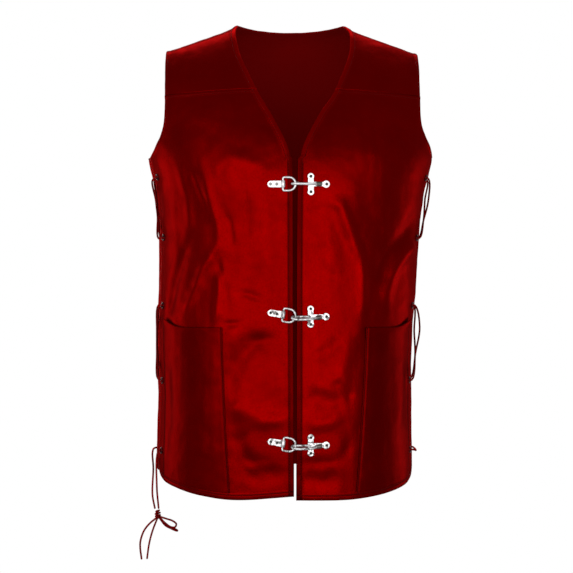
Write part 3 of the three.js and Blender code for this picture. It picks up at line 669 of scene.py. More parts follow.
def folded_edges(body, edges, grooves):
    """Lift of the outer face, lift of the inner face, and painted light (painted shade and painted
    highlights), from a panel's turned edges and seams.

    edges are (line, width of the turned band or 0 for a seam, distance of its stitches, how much darker
    the band is), and grooves are (line, depth, half-width).
    """
    flat = np.zeros(len(body))
    round_off = np.ones(len(body))
    groove = np.zeros(len(body))
    painted_light = np.ones(len(body))
    for line, band, stitch, shade_there in edges:
        gap = distance_to(body, line)[0]
        roll = np.sqrt(np.clip(1 - (1 - np.clip(gap / EDGE_ROLL, 0, 1)) ** 2, 0, 1))
        round_off = np.minimum(round_off, roll)
        painted_line = np.exp(-((gap / LINE_HALF) ** 2))
        if band:
            on_band = 1 - ease(gap, band - 0.8, band + 0.9)
            bead = 0.55 + 1.8 * np.clip(gap / band, 0, 1) * (1 - np.clip(gap / band, 0, 1))
            flat = np.maximum(flat, on_band * bead)
            # the band is made darker, or lighter where its shade is below 0; a painted highlight runs
            # along its very edge, and painted shade along a seam
            painted_light *= 1 - shade_there * on_band
            painted_light *= 1 + LINE_PAINTED_HIGHLIGHT * np.maximum(shade_there, LINE_LEAST) * painted_line
        else:
            painted_light *= 1 - shade_there * painted_line
        if stitch:
            groove = np.maximum(groove, np.exp(-(((gap - stitch) / GROOVE_HALF) ** 2)))
    for line, depth, width in grooves:
        near = np.exp(-((distance_to(body, line)[0] / width) ** 2))
        groove = np.maximum(groove, near * depth / GROOVE)
    # painted shade in the stitched grooves
    painted_light *= 1 - GROOVE_PAINTED_SHADE * np.minimum(groove, 1)
    outer = RIM * flat * round_off - EDGE_ROLL_DEPTH * (1 - round_off) - GROOVE * groove
    return outer, EDGE_ROLL_DEPTH * (1 - round_off), painted_light


def leather_shell(level, turn, back, edges, grooves=(), lifts=(0.0, -WALL), bulge=None, overall_painted_shade=1.0):
    """Outer grid, inner grid and painted light (painted shade and painted highlights) of a wall of leather
    over a grid of nodes.

    lifts are how far the outer and the inner face stand off the body.
    """
    outer_at, inner_at = lifts
    body = surface(level, turn).reshape(-1, 3)
    normal = outward(level, turn).reshape(-1, 3)
    free = held_flat(body, back)
    raised = free * (fold_height(body, FOLDS_BACK if back else FOLDS_FRONT) + unevenness(body, UNEVEN))
    rim, rim_inside, painted_light = folded_edges(body, edges, grooves)
    if bulge is not None:
        raised = raised + bulge(level.reshape(-1), turn.reshape(-1))
    # painted light: where the leather stands out it is painted lighter, and where it sinks darker; a
    # panel's overall painted shade darkens it all over
    painted_light = overall_painted_shade * painted_light * (1 + 0.03 * np.clip(raised, -5, 4))
    walls = []
    for offset in (outer_at + raised + rim, inner_at + raised + rim_inside):
        points = body + normal * offset[:, None]
        side = np.maximum if back else np.minimum
        points[:, 1] = side(points[:, 1], SEWN_GAP / 2 if back else -SEWN_GAP / 2)
        walls.append(points.reshape(*level.shape, 3))
    return walls[0], walls[1], painted_light.reshape(level.shape)


def wall_object(name, outer, inner, painted_light, materials, holes=()):
    """The closed mesh between an outer and an inner grid, open where eyelets pass."""
    rows, columns = outer.shape[:2]
    index = np.arange(rows * columns).reshape(rows, columns)
    deep = index + rows * columns
    a, b, c, d = index[:-1, :-1], index[:-1, 1:], index[1:, 1:], index[1:, :-1]
    keep = np.ones(a.shape, bool)
    centre = (outer[:-1, :-1] + outer[1:, 1:]) / 2
    for spot in holes:
        keep &= np.linalg.norm(centre - spot, axis=-1) > EYELET_HOLE
    front = np.stack([a, b, c, d], axis=-1)[keep]
    rear = np.stack([a, d, c, b], axis=-1)[keep] + rows * columns
    faces = [*front.tolist(), *rear.tolist()]
    sides = []

    def strip(near, far):
        for i in range(len(near) - 1):
            sides.append([near[i + 1], near[i], far[i], far[i + 1]])

    strip(index[0], deep[0])
    strip(index[-1][::-1], deep[-1][::-1])
    strip(index[:, 0][::-1], deep[:, 0][::-1])
    strip(index[:, -1], deep[:, -1])
    for r, c in zip(*np.nonzero(~keep)):
        corners = [(r, c), (r, c + 1), (r + 1, c + 1), (r + 1, c)]
        beyond = [(r - 1, c), (r, c + 1), (r + 1, c), (r, c - 1)]
        for k, (br, bc) in enumerate(beyond):
            inside = 0 <= br < rows - 1 and 0 <= bc < columns - 1
            if inside and keep[br, bc]:
                p, q = corners[k], corners[(k + 1) % 4]
                sides.append([index[q], index[p], deep[p], deep[q]])
    faces += [[int(i) for i in face] for face in sides]
    material = [0] * len(front) + [1] * len(rear) + [0] * len(sides)
    points = np.concatenate([outer.reshape(-1, 3), inner.reshape(-1, 3)])
    painted_lights = np.concatenate([painted_light.reshape(-1), painted_light.reshape(-1)])
    used = sorted({i for face in faces for i in face})
    if len(used) < len(points):
        renumber = np.full(len(points), -1)
        renumber[used] = np.arange(len(used))
        faces = [[int(renumber[i]) for i in face] for face in faces]
        points, painted_lights = points[used], painted_lights[used]
    return make_object(name, points, faces, materials, material, painted_lights)


# ---------------------------------------------------------------- leather panels

SEAM_STEPS = (0, 0.4, 1.1, 2.2, 3.3, 3.9, 4.3, 4.7, 5.4, 6.2, 7.2)
SEAM_BAND = 5.4
SEAM_STITCH = 4.3
POCKET_STEPS = (0, 0.4, 1.0, 1.6, 2.0, 2.4, 3.2, 4.4, 5.4, 6.0, 6.4, 6.8, 7.6, 9.0)
POCKET_STITCH = 2.4
POCKET_GROOVE_HALF = 1.1
POCKET_FOOT = 9.2  # above the hem's edge, where the hem's band ends
POCKET_GAPE = 3.2  # how far the mouth's outer corner stands off the panel
POCKET_PAINTED_SHADE = 0.8  # painted shade that darkens each pocket all over
HEM_SETTLES = 110.0  # above this much height the hem's curve no longer shows in the rows
# Rough sizes of the panels, which say how many rows and columns a grid has.
ARMHOLE_TO_SEAM = 90.0
FRONT_WIDTH = 225.0
YOKE_WIDTH, YOKE_HEIGHT = 100.0, 112.0
POCKET_WIDTH, POCKET_HEIGHT = 108.0, 190.0
BACK_HEIGHT = 205.0  # armholes to neck
SHOULDER_WIDTH = 165.0  # of the back, from the armhole's side to the neck's corner
# Spacing of the grids' rows and columns, beside SPACING.
BACK_SPACING = 4.6
YOKE_ROWS, YOKE_COLUMNS = 2.6, 2.8
POCKET_ROWS, POCKET_COLUMNS = 3.0, 2.9
BAND_STITCH_AT = EDGE_STEPS.index(BAND_STITCH)
SIDE_STITCH_AT = EDGE_STEPS.index(SIDE_STITCH)
SEAM_STITCH_AT = SEAM_STEPS.index(SEAM_STITCH)
LACED_STEPS = EDGE_STEPS + EYELET_STEPS
BESIDE_POCKET = 1.6  # where the front is drawn in beside its pocket
BESIDE_POCKET_HALF = 1.8


def side_edge(side, back):
    """The laced edge of a panel, and its armhole above that."""

    def column(level):
        half = (armhole_back_half if back else armhole_front_half)(section("height", level), side)
        armhole = turn_at_x(level, side * half, back)
        laced = (BACK_SIDE_TURN if side > 0 else 360 - BACK_SIDE_TURN) if back else side * FRONT_SIDE_TURN
        return np.where(section("height", level) > ARMHOLE_BASE, armhole, laced)

    return column


def front_edge(side):
    return lambda level: turn_at_x(level, side * neck_half(section("height", level), side))


def pocket_edge(side):
    return lambda level: turn_at_x(level, side * pocket_half(section("height", level), side))


def hem_row(back):
    def row(turn, x):
        away = 180 - turn if back else turn
        height = (hem_back_height if back else hem_front_height)(np.abs(away), away)
        return level_at(height)

    return row


def level_row(height):
    return lambda turn, x: np.full(np.shape(turn), level_at(height))


def marks(low, high, spacing, fine_at=(), fine=1.05, reach=5.6):
    """Rising heights from low to high, close together beside those in fine_at."""
    found = [low]
    while found[-1] < high - fine:
        here = found[-1]
        close = any(-reach < value - here < reach + spacing for value in fine_at)
        found.append(here + (fine if close else spacing))
    return found[:-1]


def rows_over_hem(back, spacing):
    """Rows from the hem to the armholes: along the hem at first, then level by the eyelets."""
    hem = hem_row(back)
    turn = eyelet_place("back" if back else "front", 1, EYELET_HEIGHTS[-1])[1]
    anchor = section("height", hem(turn, 0))
    first = anchor + EDGE_STEPS[-1]

    def row(height):
        level_share = min(1.0, (height - first) / HEM_SETTLES)

        def at(turn, x):
            hem_height = section("height", hem(turn, x))
            return level_at(height + (hem_height - anchor) * (1 - level_share) ** 2)

        return at

    heights = marks(first + spacing, ARMHOLE_BASE, spacing, EYELET_HEIGHTS)
    return [above(hem, mm) for mm in EDGE_STEPS] + [row(height) for height in heights]


def evenly(first, last, length, spacing):
    count = max(2, round(length / spacing))
    return [between(first, last, i / count) for i in range(count)]


def in_order(side, first, last):
    """Two things swapped on the wearer's right, where columns run from the side to the front."""
    return (first, last) if side > 0 else (last, first)


def named(side, left):
    return left if side > 0 else left.replace("left", "right")


def make_panel(name, materials, grid, edges, stitch_lines, back=False, holes=(), **form):
    """A leather panel, and each of its stitch lines as points and the body's normals there."""
    level, turn = grid
    outer, inner, painted_light = leather_shell(level, turn, back, edges, **form)
    thing = wall_object(f"{name}_leather", outer, inner, painted_light, materials, holes)
    ridden(thing, "leather", name)
    out = outward(level, turn)
    return thing, [(outer[line], out[line]) for line in stitch_lines]


def stitch_columns(side, count):
    """The columns of a front panel that the stitches of its front edge and of its side edge run along."""
    if side > 0:
        return BAND_STITCH_AT, count - 1 - SIDE_STITCH_AT
    return count - 1 - BAND_STITCH_AT, SIDE_STITCH_AT


def front_grid(side):
    seam = level_row(YOKE_SEAM - SEWN_GAP / 2)
    rows = rows_over_hem(False, SPACING)
    below_seam = above(seam, -SEAM_STEPS[-1])
    rows += evenly(level_row(ARMHOLE_BASE), below_seam, ARMHOLE_TO_SEAM, SPACING)
    rows += [above(seam, -mm) for mm in reversed(SEAM_STEPS)]
    knots = in_order(side, front_edge(side), side_edge(side, False))
    steps = in_order(side, EDGE_STEPS, LACED_STEPS)
    return grid_of(rows, columns_through(knots, [FRONT_WIDTH], *steps, SPACING))


def make_front(side, materials):
    grid = level, turn = front_grid(side)
    body = surface(level, turn)
    front_column, side_column = in_order(side, 0, -1)
    edges = [
        (body[:, front_column], BAND, BAND_STITCH, front_shade(body)),
        (body[0], BAND, BAND_STITCH, HEM_SHADE),
        (body[:, side_column], SIDE_BAND, SIDE_STITCH, SIDE_SHADE),
        (body[-1], 0, 0, SEAM_PAINTED_SHADE),
    ]
    below_mouth = np.linspace(0.9, level_at(POCKET_MOUTH), 60)
    beside_pocket = surface(below_mouth, inset(pocket_edge(side), -BESIDE_POCKET * side)(below_mouth))
    grooves = [
        (body[-1 - SEAM_STITCH_AT], 0.6 * GROOVE, GROOVE_HALF),
        (beside_pocket, 0.6 * GROOVE, BESIDE_POCKET_HALF),
    ]
    front_at, side_at = stitch_columns(side, level.shape[1])
    low, high = sorted((front_at, side_at))
    stitch_lines = [
        np.s_[BAND_STITCH_AT:, front_at],
        np.s_[BAND_STITCH_AT:, side_at],
        np.s_[BAND_STITCH_AT, low : high + 1],
        np.s_[-1 - SEAM_STITCH_AT, low : high + 1],
    ]
    holes = [spot for spot in eyelet_spots("front") if spot[0] * side > 0]
    form = {"grooves": grooves, "bulge": yoke_band(level, turn)}
    return make_panel(named(side, "front_left"), materials, grid, edges, stitch_lines, holes=holes, **form)


def front_shade(body):
    """The turned edge is darker down the opening, and round the neck it is lighter than the leather beside
    it, a painted highlight on its rounded edge.
    """
    return NECK_PAINTED_HIGHLIGHT + (OPENING_SHADE - NECK_PAINTED_HIGHLIGHT) * (1 - ease(body[..., 2].reshape(-1), -212, -166))


def yoke_band(level, turn):
    """The top of the front is doubled where it meets the yoke."""
    gap = (level_at(YOKE_SEAM) - level.reshape(-1)) / level_per_mm(level, turn).reshape(-1)
    return lambda *at: 0.5 * (1 - ease(gap, SEAM_BAND - 0.7, SEAM_BAND + 0.8))


def make_yoke(side, materials):
    seam = level_row(YOKE_SEAM + SEWN_GAP / 2)
    ridge = level_row(SECTIONS[-1, 0])
    first_even, last_even = above(seam, SEAM_STEPS[-1] + 1), above(ridge, -SEAM_STEPS[-1])
    rows = [above(seam, mm) for mm in SEAM_STEPS]
    rows += evenly(first_even, last_even, YOKE_HEIGHT, YOKE_ROWS)
    rows += [above(ridge, -mm) for mm in reversed(SEAM_STEPS)]
    knots = in_order(side, front_edge(side), side_edge(side, False))
    columns = columns_through(knots, [YOKE_WIDTH], EDGE_STEPS, EDGE_STEPS, YOKE_COLUMNS)
    grid = level, turn = grid_of(rows, columns)
    body = surface(level, turn)
    neck, arm = in_order(side, 0, -1)
    edges = [
        (body[:, neck], BAND, BAND_STITCH, NECK_PAINTED_HIGHLIGHT),
        (body[:, arm], SIDE_BAND, SIDE_STITCH, SIDE_SHADE),
        (body[0], 0, 0, SEAM_PAINTED_SHADE),
        (body[-1], 0, 0, 2 * SEAM_PAINTED_SHADE),
    ]
    stitch_lines = [np.s_[:, column] for column in stitch_columns(side, level.shape[1])]
    return make_panel(named(side, "front_left_yoke"), materials, grid, edges, stitch_lines)


def mouth_row(turn, x):
    return level_at(POCKET_MOUTH + POCKET_MOUTH_RISE * ease(np.abs(turn), 46, 74) ** 2)


def make_pocket(side, materials):
    foot = above(hem_row(False), POCKET_FOOT)
    outer_edge = inset(side_edge(side, False), -side * LACED_BAND)
    last_even = above(mouth_row, -POCKET_STEPS[-1] - 1)
    rows = [above(foot, mm) for mm in (0, 1.0)]
    rows += evenly(above(foot, 2.2), last_even, POCKET_HEIGHT, POCKET_ROWS)
    rows += [above(mouth_row, -mm) for mm in reversed(POCKET_STEPS)]
    knots = in_order(side, pocket_edge(side), outer_edge)
    columns = columns_through(knots, [POCKET_WIDTH], POCKET_STEPS, POCKET_STEPS, POCKET_COLUMNS)
    grid = level, turn = grid_of(rows, columns)
    body = surface(level, turn)
    edges = [(line, 0, 0, SEAM_PAINTED_SHADE) for line in (body[:, 0], body[:, -1], body[-1])]
    sewn = POCKET_STEPS.index(POCKET_STITCH)
    grooves = [(body[:, column], 1.6 * GROOVE, POCKET_GROOVE_HALF) for column in (sewn, -1 - sewn)]

    def bulge(levels, turns):
        down = section("height", mouth_row(turns, 0)) - section("height", levels)

        def near(turn, turn_half, height, height_half):
            across = np.exp(-(((np.abs(turns) - turn) / turn_half) ** 2))
            return across * np.exp(-(((down - height) / height_half) ** 2))

        return POCKET_GAPE * near(69, 8, 0, 13) + 1.1 * near(50, 16, 0, 20) + 0.7 * near(56, 12, 120, 80)

    form = {"grooves": grooves, "lifts": (GAP + POCKET_WALL, GAP), "bulge": bulge, "overall_painted_shade": POCKET_PAINTED_SHADE}
    stitch_lines = [np.s_[:-2, column] for column in (sewn, level.shape[1] - 1 - sewn)]
    return make_panel(named(side, "pocket_left"), materials, grid, edges, stitch_lines, **form)


def back_top(turn, x):
    share = np.minimum(1, np.abs(x) / NECK_BACK_HALF)
    depth = NECK_BACK_DEPTH * (1 - share**2.4) ** 0.7
    fine = np.linspace(RIDGE - 4, RIDGE, 800)
    return np.interp(-depth, -section("back", fine), fine)


def make_back(materials):
    rows = rows_over_hem(True, BACK_SPACING)
    rows += evenly(level_row(ARMHOLE_BASE), above(back_top, -EDGE_STEPS[-1]), BACK_HEIGHT, BACK_SPACING)
    rows += [above(back_top, -mm) for mm in reversed(EDGE_STEPS)]
    neck = [lambda level, s=side: turn_at_x(level, s * NECK_BACK_HALF, True) for side in (1, -1)]
    knots = [side_edge(1, True), *neck, side_edge(-1, True)]
    widths = [SHOULDER_WIDTH, 2 * NECK_BACK_HALF, SHOULDER_WIDTH]
    columns = columns_through(knots, widths, LACED_STEPS, LACED_STEPS, BACK_SPACING)
    grid = grid_of(rows, columns)
    body = surface(*grid)
    x = body[-1, :, 0]
    neck_part = np.abs(x) <= NECK_BACK_HALF + 0.5
    edges = [
        (body[:, 0], SIDE_BAND, SIDE_STITCH, SIDE_SHADE),
        (body[:, -1], SIDE_BAND, SIDE_STITCH, SIDE_SHADE),
        (body[0], BAND, BAND_STITCH, HEM_SHADE),
        (body[-1][neck_part], BAND, BAND_STITCH, HEM_SHADE),
        (body[-1][x > NECK_BACK_HALF], 0, 0, 2 * SEAM_PAINTED_SHADE),
        (body[-1][x < -NECK_BACK_HALF], 0, 0, 2 * SEAM_PAINTED_SHADE),
    ]
    middle = np.nonzero(neck_part)[0]
    stitch_lines = [
        np.s_[BAND_STITCH_AT:, SIDE_STITCH_AT],
        np.s_[BAND_STITCH_AT:, -1 - SIDE_STITCH_AT],
        np.s_[BAND_STITCH_AT, SIDE_STITCH_AT:-SIDE_STITCH_AT],
        np.s_[-1 - BAND_STITCH_AT, middle[1] : middle[-1]],
    ]
    holes = eyelet_spots("back")
    return make_panel("back", materials, grid, edges, stitch_lines, back=True, holes=holes)


# ---------------------------------------------------------------- rods, plates and turned shapes


def through(points, steps, closed=False):
    """Points on the smooth centripetal curve through points, steps to a stretch."""
    points = np.asarray(points, float)
    if closed:
        padded = np.concatenate([points[-1:], points, points[:2]])
    else:
        padded = np.concatenate([[2 * points[0] - points[1]], points, [2 * points[-1] - points[-2]]])
    route = []
    for p0, p1, p2, p3 in zip(padded, padded[1:], padded[2:], padded[3:]):
        d0, d1, d2 = (np.linalg.norm(b - a) ** 0.5 for a, b in ((p0, p1), (p1, p2), (p2, p3)))
        leave = ((p1 - p0) / d0 - (p2 - p0) / (d0 + d1) + (p2 - p1) / d1) * d1
        reach = ((p2 - p1) / d1 - (p3 - p1) / (d1 + d2) + (p3 - p2) / d2) * d1
        for i in range(steps):
            t = i / steps
            bend = t * t * (3 * (p2 - p1) - 2 * leave - reach)
            route.append(p1 + leave * t + bend + t**3 * (2 * (p1 - p2) + leave + reach))
    return np.array(route if closed else [*route, points[-1]])


ROUND_END = ((0.0, 0.18), (0.35, 0.72), (0.75, 0.97))  # shares of the radius: forwards, and across


def round_ended(route, radius):
    """A route and its radii, with a round nose at each end."""
    first, last = route[0], route[-1]
    back = (first - route[1]) / np.linalg.norm(first - route[1])
    on = (last - route[-2]) / np.linalg.norm(last - route[-2])
    head = [first + back * radius * (1 - share) for share, _ in ROUND_END]
    tail = [last + on * radius * (1 - share) for share, _ in reversed(ROUND_END)]
    sizes = [radius * width for _, width in ROUND_END]
    radii = [*sizes, *[radius] * len(route), *reversed(sizes)]
    return np.array([*head, *route, *tail]), np.array(radii)


def sweep(route, radius, sides, closed=False):
    """A round tube along a route: its points, its faces and a (round, along) pair for each corner."""
    count = len(route)
    radius = np.broadcast_to(np.asarray(radius, float), count)
    if closed:
        tangent = np.roll(route, -1, axis=0) - np.roll(route, 1, axis=0)
    else:
        tangent = np.gradient(route, axis=0)
    tangent /= np.linalg.norm(tangent, axis=1, keepdims=True)
    side = np.cross(tangent[0], (0.31, 0.87, 0.22))
    angles = np.arange(sides) * 2 * math.pi / sides
    points = []
    for place, forward, size in zip(route, tangent, radius):
        side = side - forward * (side @ forward)
        side /= np.linalg.norm(side)
        other = np.cross(forward, side)
        points.append(place + size * (np.cos(angles)[:, None] * side + np.sin(angles)[:, None] * other))
    along = np.concatenate([[0], np.cumsum(np.linalg.norm(np.diff(route, axis=0), axis=1))]) * MM
    faces, where = [], []
    for i in range(count if closed else count - 1):
        j = (i + 1) % count
        for k in range(sides):
            m = (k + 1) % sides
            faces.append([i * sides + k, i * sides + m, j * sides + m, j * sides + k])
            ends = along[i], (along[j] if j else 2 * along[-1] - along[-2])
            where += [(k / sides, ends[0]), ((k + 1) / sides, ends[0])]
            where += [((k + 1) / sides, ends[1]), (k / sides, ends[1])]
    if not closed:
        last = (count - 1) * sides
        for ring, far in ((list(range(sides))[::-1], 0), (list(range(last, last + sides)), -1)):
            faces.append(ring)
            where += [(0.5, along[far])] * sides
    return np.concatenate(points), faces, where


def turned(profile, sides):
    """A shape turned about its z axis from (radius, height) pairs, closed or from axis to axis."""
    points, rings = [], []
    for radius, height in profile:
        if radius == 0:
            rings.append([len(points)])
            points.append((0, 0, height))
            continue
        rings.append(list(range(len(points), len(points) + sides)))
        for k in range(sides):
            angle = 2 * math.pi * k / sides
            points.append((radius * math.cos(angle), radius * math.sin(angle), height))
    closed = profile[0][0] != 0
    pairs = list(zip(rings, rings[1:] + rings[:1] if closed else rings[1:]))
    faces = []
    for low, high in pairs:
        for k in range(sides):
            m = (k + 1) % sides
            corners = [low[k % len(low)], low[m % len(low)], high[m % len(high)], high[k % len(high)]]
            faces.append(list(dict.fromkeys(corners)))
    return np.array(points, float), faces


def arc(centre, radius, start, end, steps):
    angles = np.linspace(start, end, steps + 1) * DEG
    return [(centre[0] + radius * math.cos(a), centre[1] + radius * math.sin(a)) for a in angles]


def in_fixed_order(points, faces):
    """The same mesh numbered by place, since bevels number their corners differently from run to run."""
    order = sorted(range(len(points)), key=lambda i: tuple(points[i].round(4)))
    number = {old: new for new, old in enumerate(order)}
    numbered = []
    for face in faces:
        corners = [number[i] for i in face]
        start = corners.index(min(corners))
        numbered.append(corners[start:] + corners[:start])
    return points[order], sorted(numbered)


def bevelled_plate(outline, bottom, top, bevel=0.55):
    """A flat plate with rounded edges, its outline running counter-clockwise seen from its top."""
    plate = bmesh.new()
    low = [plate.verts.new((x, y, bottom)) for x, y in outline]
    high = [plate.verts.new((x, y, top)) for x, y in outline]
    plate.faces.new(low[::-1])
    plate.faces.new(high)
    for i, corner in enumerate(low):
        j = (i + 1) % len(low)
        plate.faces.new((corner, low[j], high[j], high[i]))
    rims = [edge for edge in plate.edges if abs(edge.verts[0].co.z - edge.verts[1].co.z) < 0.1]
    bmesh.ops.bevel(plate, geom=rims, offset=bevel, segments=4, profile=0.5, affect="EDGES")
    caps = [face for face in plate.faces if len(face.verts) > 8]
    bmesh.ops.inset_individual(plate, faces=caps, thickness=0.35)
    bmesh.ops.recalc_face_normals(plate, faces=plate.faces)
    plate.verts.index_update()
    points = np.array([vertex.co for vertex in plate.verts])
    faces = [[vertex.index for vertex in face.verts] for face in plate.faces]
    plate.free()
    return in_fixed_order(points, faces)


def placed(shape, place):
    """A shape moved by a 4 by 4 matrix."""
    points, *rest = shape
    return (points @ place[:3, :3].T + place[:3, 3], *rest)


def together(shapes):
    points, faces = [], []
    for shape in shapes:
        start = sum(len(group) for group in points)
        faces += [[start + i for i in face] for face in shape[1]]
        points.append(shape[0])
    return np.concatenate(points), faces


def turn_about(axis, degrees):
    matrix = np.eye(4)
    matrix[:3, :3] = np.array(Matrix.Rotation(degrees * DEG, 3, axis))
    return matrix


def move_by(x, y, z):
    matrix = np.eye(4)
    matrix[:3, 3] = (x, y, z)
    return matrix


def frame_at(level, turn):
    """A place on the leather: x runs round the body, y runs up and z points out."""
    out = outward(level, turn)
    across = np.cross((0, 0, 1), out)
    across /= np.linalg.norm(across)
    matrix = np.eye(4)
    matrix[:3, 0], matrix[:3, 1], matrix[:3, 2] = across, np.cross(out, across), out
    matrix[:3, 3] = surface(level, turn)
    return matrix


def frame_on(height, x):
    level = level_at(height)
    return frame_at(level, turn_at_x(level, x))


# ---------------------------------------------------------------- trees of geometry nodes


class Tree:
    """A tree of geometry nodes with named inputs, from which plain meshes are made."""

    def __init__(self, name, **inputs):
        self.tree = bpy.data.node_groups.new(name, "GeometryNodeTree")
        self.socket("Geometry", "INPUT", "NodeSocketGeometry")
        self.socket("Geometry", "OUTPUT", "NodeSocketGeometry")
        for label, kind in inputs.items():
            self.socket(label, "INPUT", kind)
        self.given = self.tree.nodes.new("NodeGroupInput")

    def socket(self, name, way, kind):
        self.tree.interface.new_socket(name, in_out=way, socket_type=kind)

    def node(self, kind, settings=(), **inputs):
        node = self.tree.nodes.new(kind)
        for key, value in dict(settings).items():
            setattr(node, key, value)
        for key, value in inputs.items():
            socket = node.inputs[key.replace("_", " ")]
            if isinstance(value, bpy.types.NodeSocket):
                self.tree.links.new(value, socket)
            else:
                socket.default_value = value
        return node

    def finish(self, geometry):
        """End the tree in real faces with the material that is given."""
        real = self.node("GeometryNodeRealizeInstances", Geometry=geometry)
        smooth = self.node("GeometryNodeSetShadeSmooth", Geometry=real.outputs[0])
        material = self.given.outputs["Material"]
        done = self.node("GeometryNodeSetMaterial", Geometry=smooth.outputs[0], Material=material)
        end = self.tree.nodes.new("NodeGroupOutput")
        self.tree.links.new(done.outputs[0], end.inputs[0])
        return self.tree


def grown(thing, tree, **values):
    """Run a tree on an object and leave it as a plain mesh."""
    modifier = thing.modifiers.new(tree.name, "NODES")
    modifier.node_group = tree
    items = tree.interface.items_tree
    sockets = {item.name: item.identifier for item in items if item.in_out == "INPUT"}
    for key, value in values.items():
        modifier[sockets[key]] = value
    graph = bpy.context.evaluated_depsgraph_get()
    mesh = bpy.data.meshes.new_from_object(thing.evaluated_get(graph), depsgraph=graph)
    old = thing.data
    thing.modifiers.clear()
    thing.data = mesh
    bpy.data.meshes.remove(old)
    bpy.data.node_groups.remove(tree)
    return thing


def stitching_tree():
    """Stitches laid along seam lines, lying on the leather."""
    kinds = {"Pitch": "NodeSocketFloat", "Length": "NodeSocketFloat", "Thickness": "NodeSocketFloat"}
    tree = Tree("stitching", Material="NodeSocketMaterial", **kinds)
    size = tree.given.outputs
    line = tree.node("GeometryNodeMeshToCurve", Mesh=size["Geometry"])
    by_length = {"mode": "LENGTH"}
    steps = tree.node("GeometryNodeResampleCurve", by_length, Curve=line.outputs[0], Length=size["Pitch"])
    ball = tree.node("GeometryNodeMeshUVSphere", Segments=6, Rings=4, Radius=0.5)
    form = tree.node("ShaderNodeCombineXYZ", X=size["Length"], Y=size["Thickness"], Z=size["Thickness"])
    stitch = tree.node("GeometryNodeTransform", Geometry=ball.outputs[0], Scale=form.outputs[0])
    along = tree.node("GeometryNodeInputTangent")
    out = tree.node("GeometryNodeInputNamedAttribute", {"data_type": "FLOAT_VECTOR"}, Name="out")
    lie = tree.node("FunctionNodeAxesToRotation", {"primary_axis": "X", "secondary_axis": "Z"})
    tree.tree.links.new(along.outputs[0], lie.inputs[0])
    tree.tree.links.new(out.outputs[0], lie.inputs[1])
    sewn = tree.node(
        "GeometryNodeInstanceOnPoints",
        Points=steps.outputs[0],
        Instance=stitch.outputs[0],
        Rotation=lie.outputs[0],
    )
    return tree.finish(sewn.outputs[0])


def setting_tree(name):
    """One small metal piece set at each point, turned as its point says."""
    tree = Tree(name, Material="NodeSocketMaterial", Piece="NodeSocketObject", Size="NodeSocketFloat")
    piece = tree.node("GeometryNodeObjectInfo", Object=tree.given.outputs["Piece"])
    facing = tree.node("GeometryNodeInputNamedAttribute", {"data_type": "FLOAT_VECTOR"}, Name="facing")
    turn = tree.node("FunctionNodeEulerToRotation", Euler=facing.outputs[0])
    placed_pieces = tree.node(
        "GeometryNodeInstanceOnPoints",
        Points=tree.given.outputs["Geometry"],
        Instance=piece.outputs["Geometry"],
        Rotation=turn.outputs[0],
        Scale=tree.given.outputs["Size"],
    )
    return tree.finish(placed_pieces.outputs[0])


def set_pieces(name, shape, places, material, hollow_painted_shade=0.0):
    """Copies of a small shape at places, which are 4 by 4 matrices, as one mesh, with painted shade in the
    middle of each out to the given radius.
    """
    middle = np.linalg.norm(shape[0][:, :2], axis=1) < hollow_painted_shade
    pattern = make_object(f"{name}_pattern", *shape, [], painted_light=middle)
    mesh = bpy.data.meshes.new(name)
    mesh.from_pydata([(place[:3, 3] * MM).tolist() for place in places], [], [])
    facing = [Matrix(place[:3, :3].tolist()).to_euler() for place in places]
    mesh.attributes.new("facing", "FLOAT_VECTOR", "POINT").data.foreach_set("vector", np.ravel(facing))
    thing = bpy.data.objects.new(name, mesh)
    bpy.context.scene.collection.objects.link(thing)
    grown(thing, setting_tree(name), Material=material, Piece=pattern, Size=1.0)
    bpy.data.objects.remove(pattern)
    return thing


# ---------------------------------------------------------------- stitches

SEAM_LINES = {}
STITCH_LIFT = 0.15


def make_stitching(settings, material):
    """All the seams' stitches, from the seam lines that the panels left."""
    points, out, edges = [], [], []
    for lines in SEAM_LINES.values():
        for line, normals in lines:
            start = len(points)
            points += list(line + normals * STITCH_LIFT)
            out += list(normals)
            edges += [(start + i, start + i + 1) for i in range(len(line) - 1)]
    mesh = bpy.data.meshes.new("stitching")
    mesh.from_pydata((np.array(points) * MM).tolist(), edges, [])
    mesh.attributes.new("out", "FLOAT_VECTOR", "POINT").data.foreach_set("vector", np.ravel(out))
    thing = bpy.data.objects.new("stitching", mesh)
    bpy.context.scene.collection.objects.link(thing)
    sizes = {"Pitch": settings.pitch, "Length": settings.length, "Thickness": settings.thickness}
    grown(thing, stitching_tree(), Material=material, **sizes)
    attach(thing, BODY)
    return thing


# ---------------------------------------------------------------- eyelets, clasps and rivets

INSIDE = -WALL - 3 * GAP  # where the inner flanges lie
EYELET_PROFILE = [
    (2.9, INSIDE - 0.4), (2.9, 0.3), (3.1, 0.85), (3.7, 1.2), (4.4, 1.08), (4.9, 0.65), (5.0, 0.25),
    (4.6, 0.1), (3.5, 0.2), (3.5, INSIDE), (4.8, INSIDE - 0.05), (5.0, INSIDE - 0.4), (4.4, INSIDE - 0.8),
    (3.5, INSIDE - 0.9),
]
HOLLOW_PAINTED_SHADE = 1.55  # the middle of a rivet's head, which is painted dark as shade in its recess
RIVET_IN = -WALL - 4 * GAP
RIVET_PROFILE = [
    (0, RIVET_IN - 0.8), (1.5, RIVET_IN - 0.7), (2.3, RIVET_IN - 0.3), (2.3, RIVET_IN), (1.1, RIVET_IN),
    (1.1, 2.4), (2.3, 2.45), (2.4, 2.75), (2.2, 3.3), (1.8, 3.55), (1.54, 3.5), (1.5, 3.1), (1.4, 2.7),
    (0, 2.65),
]
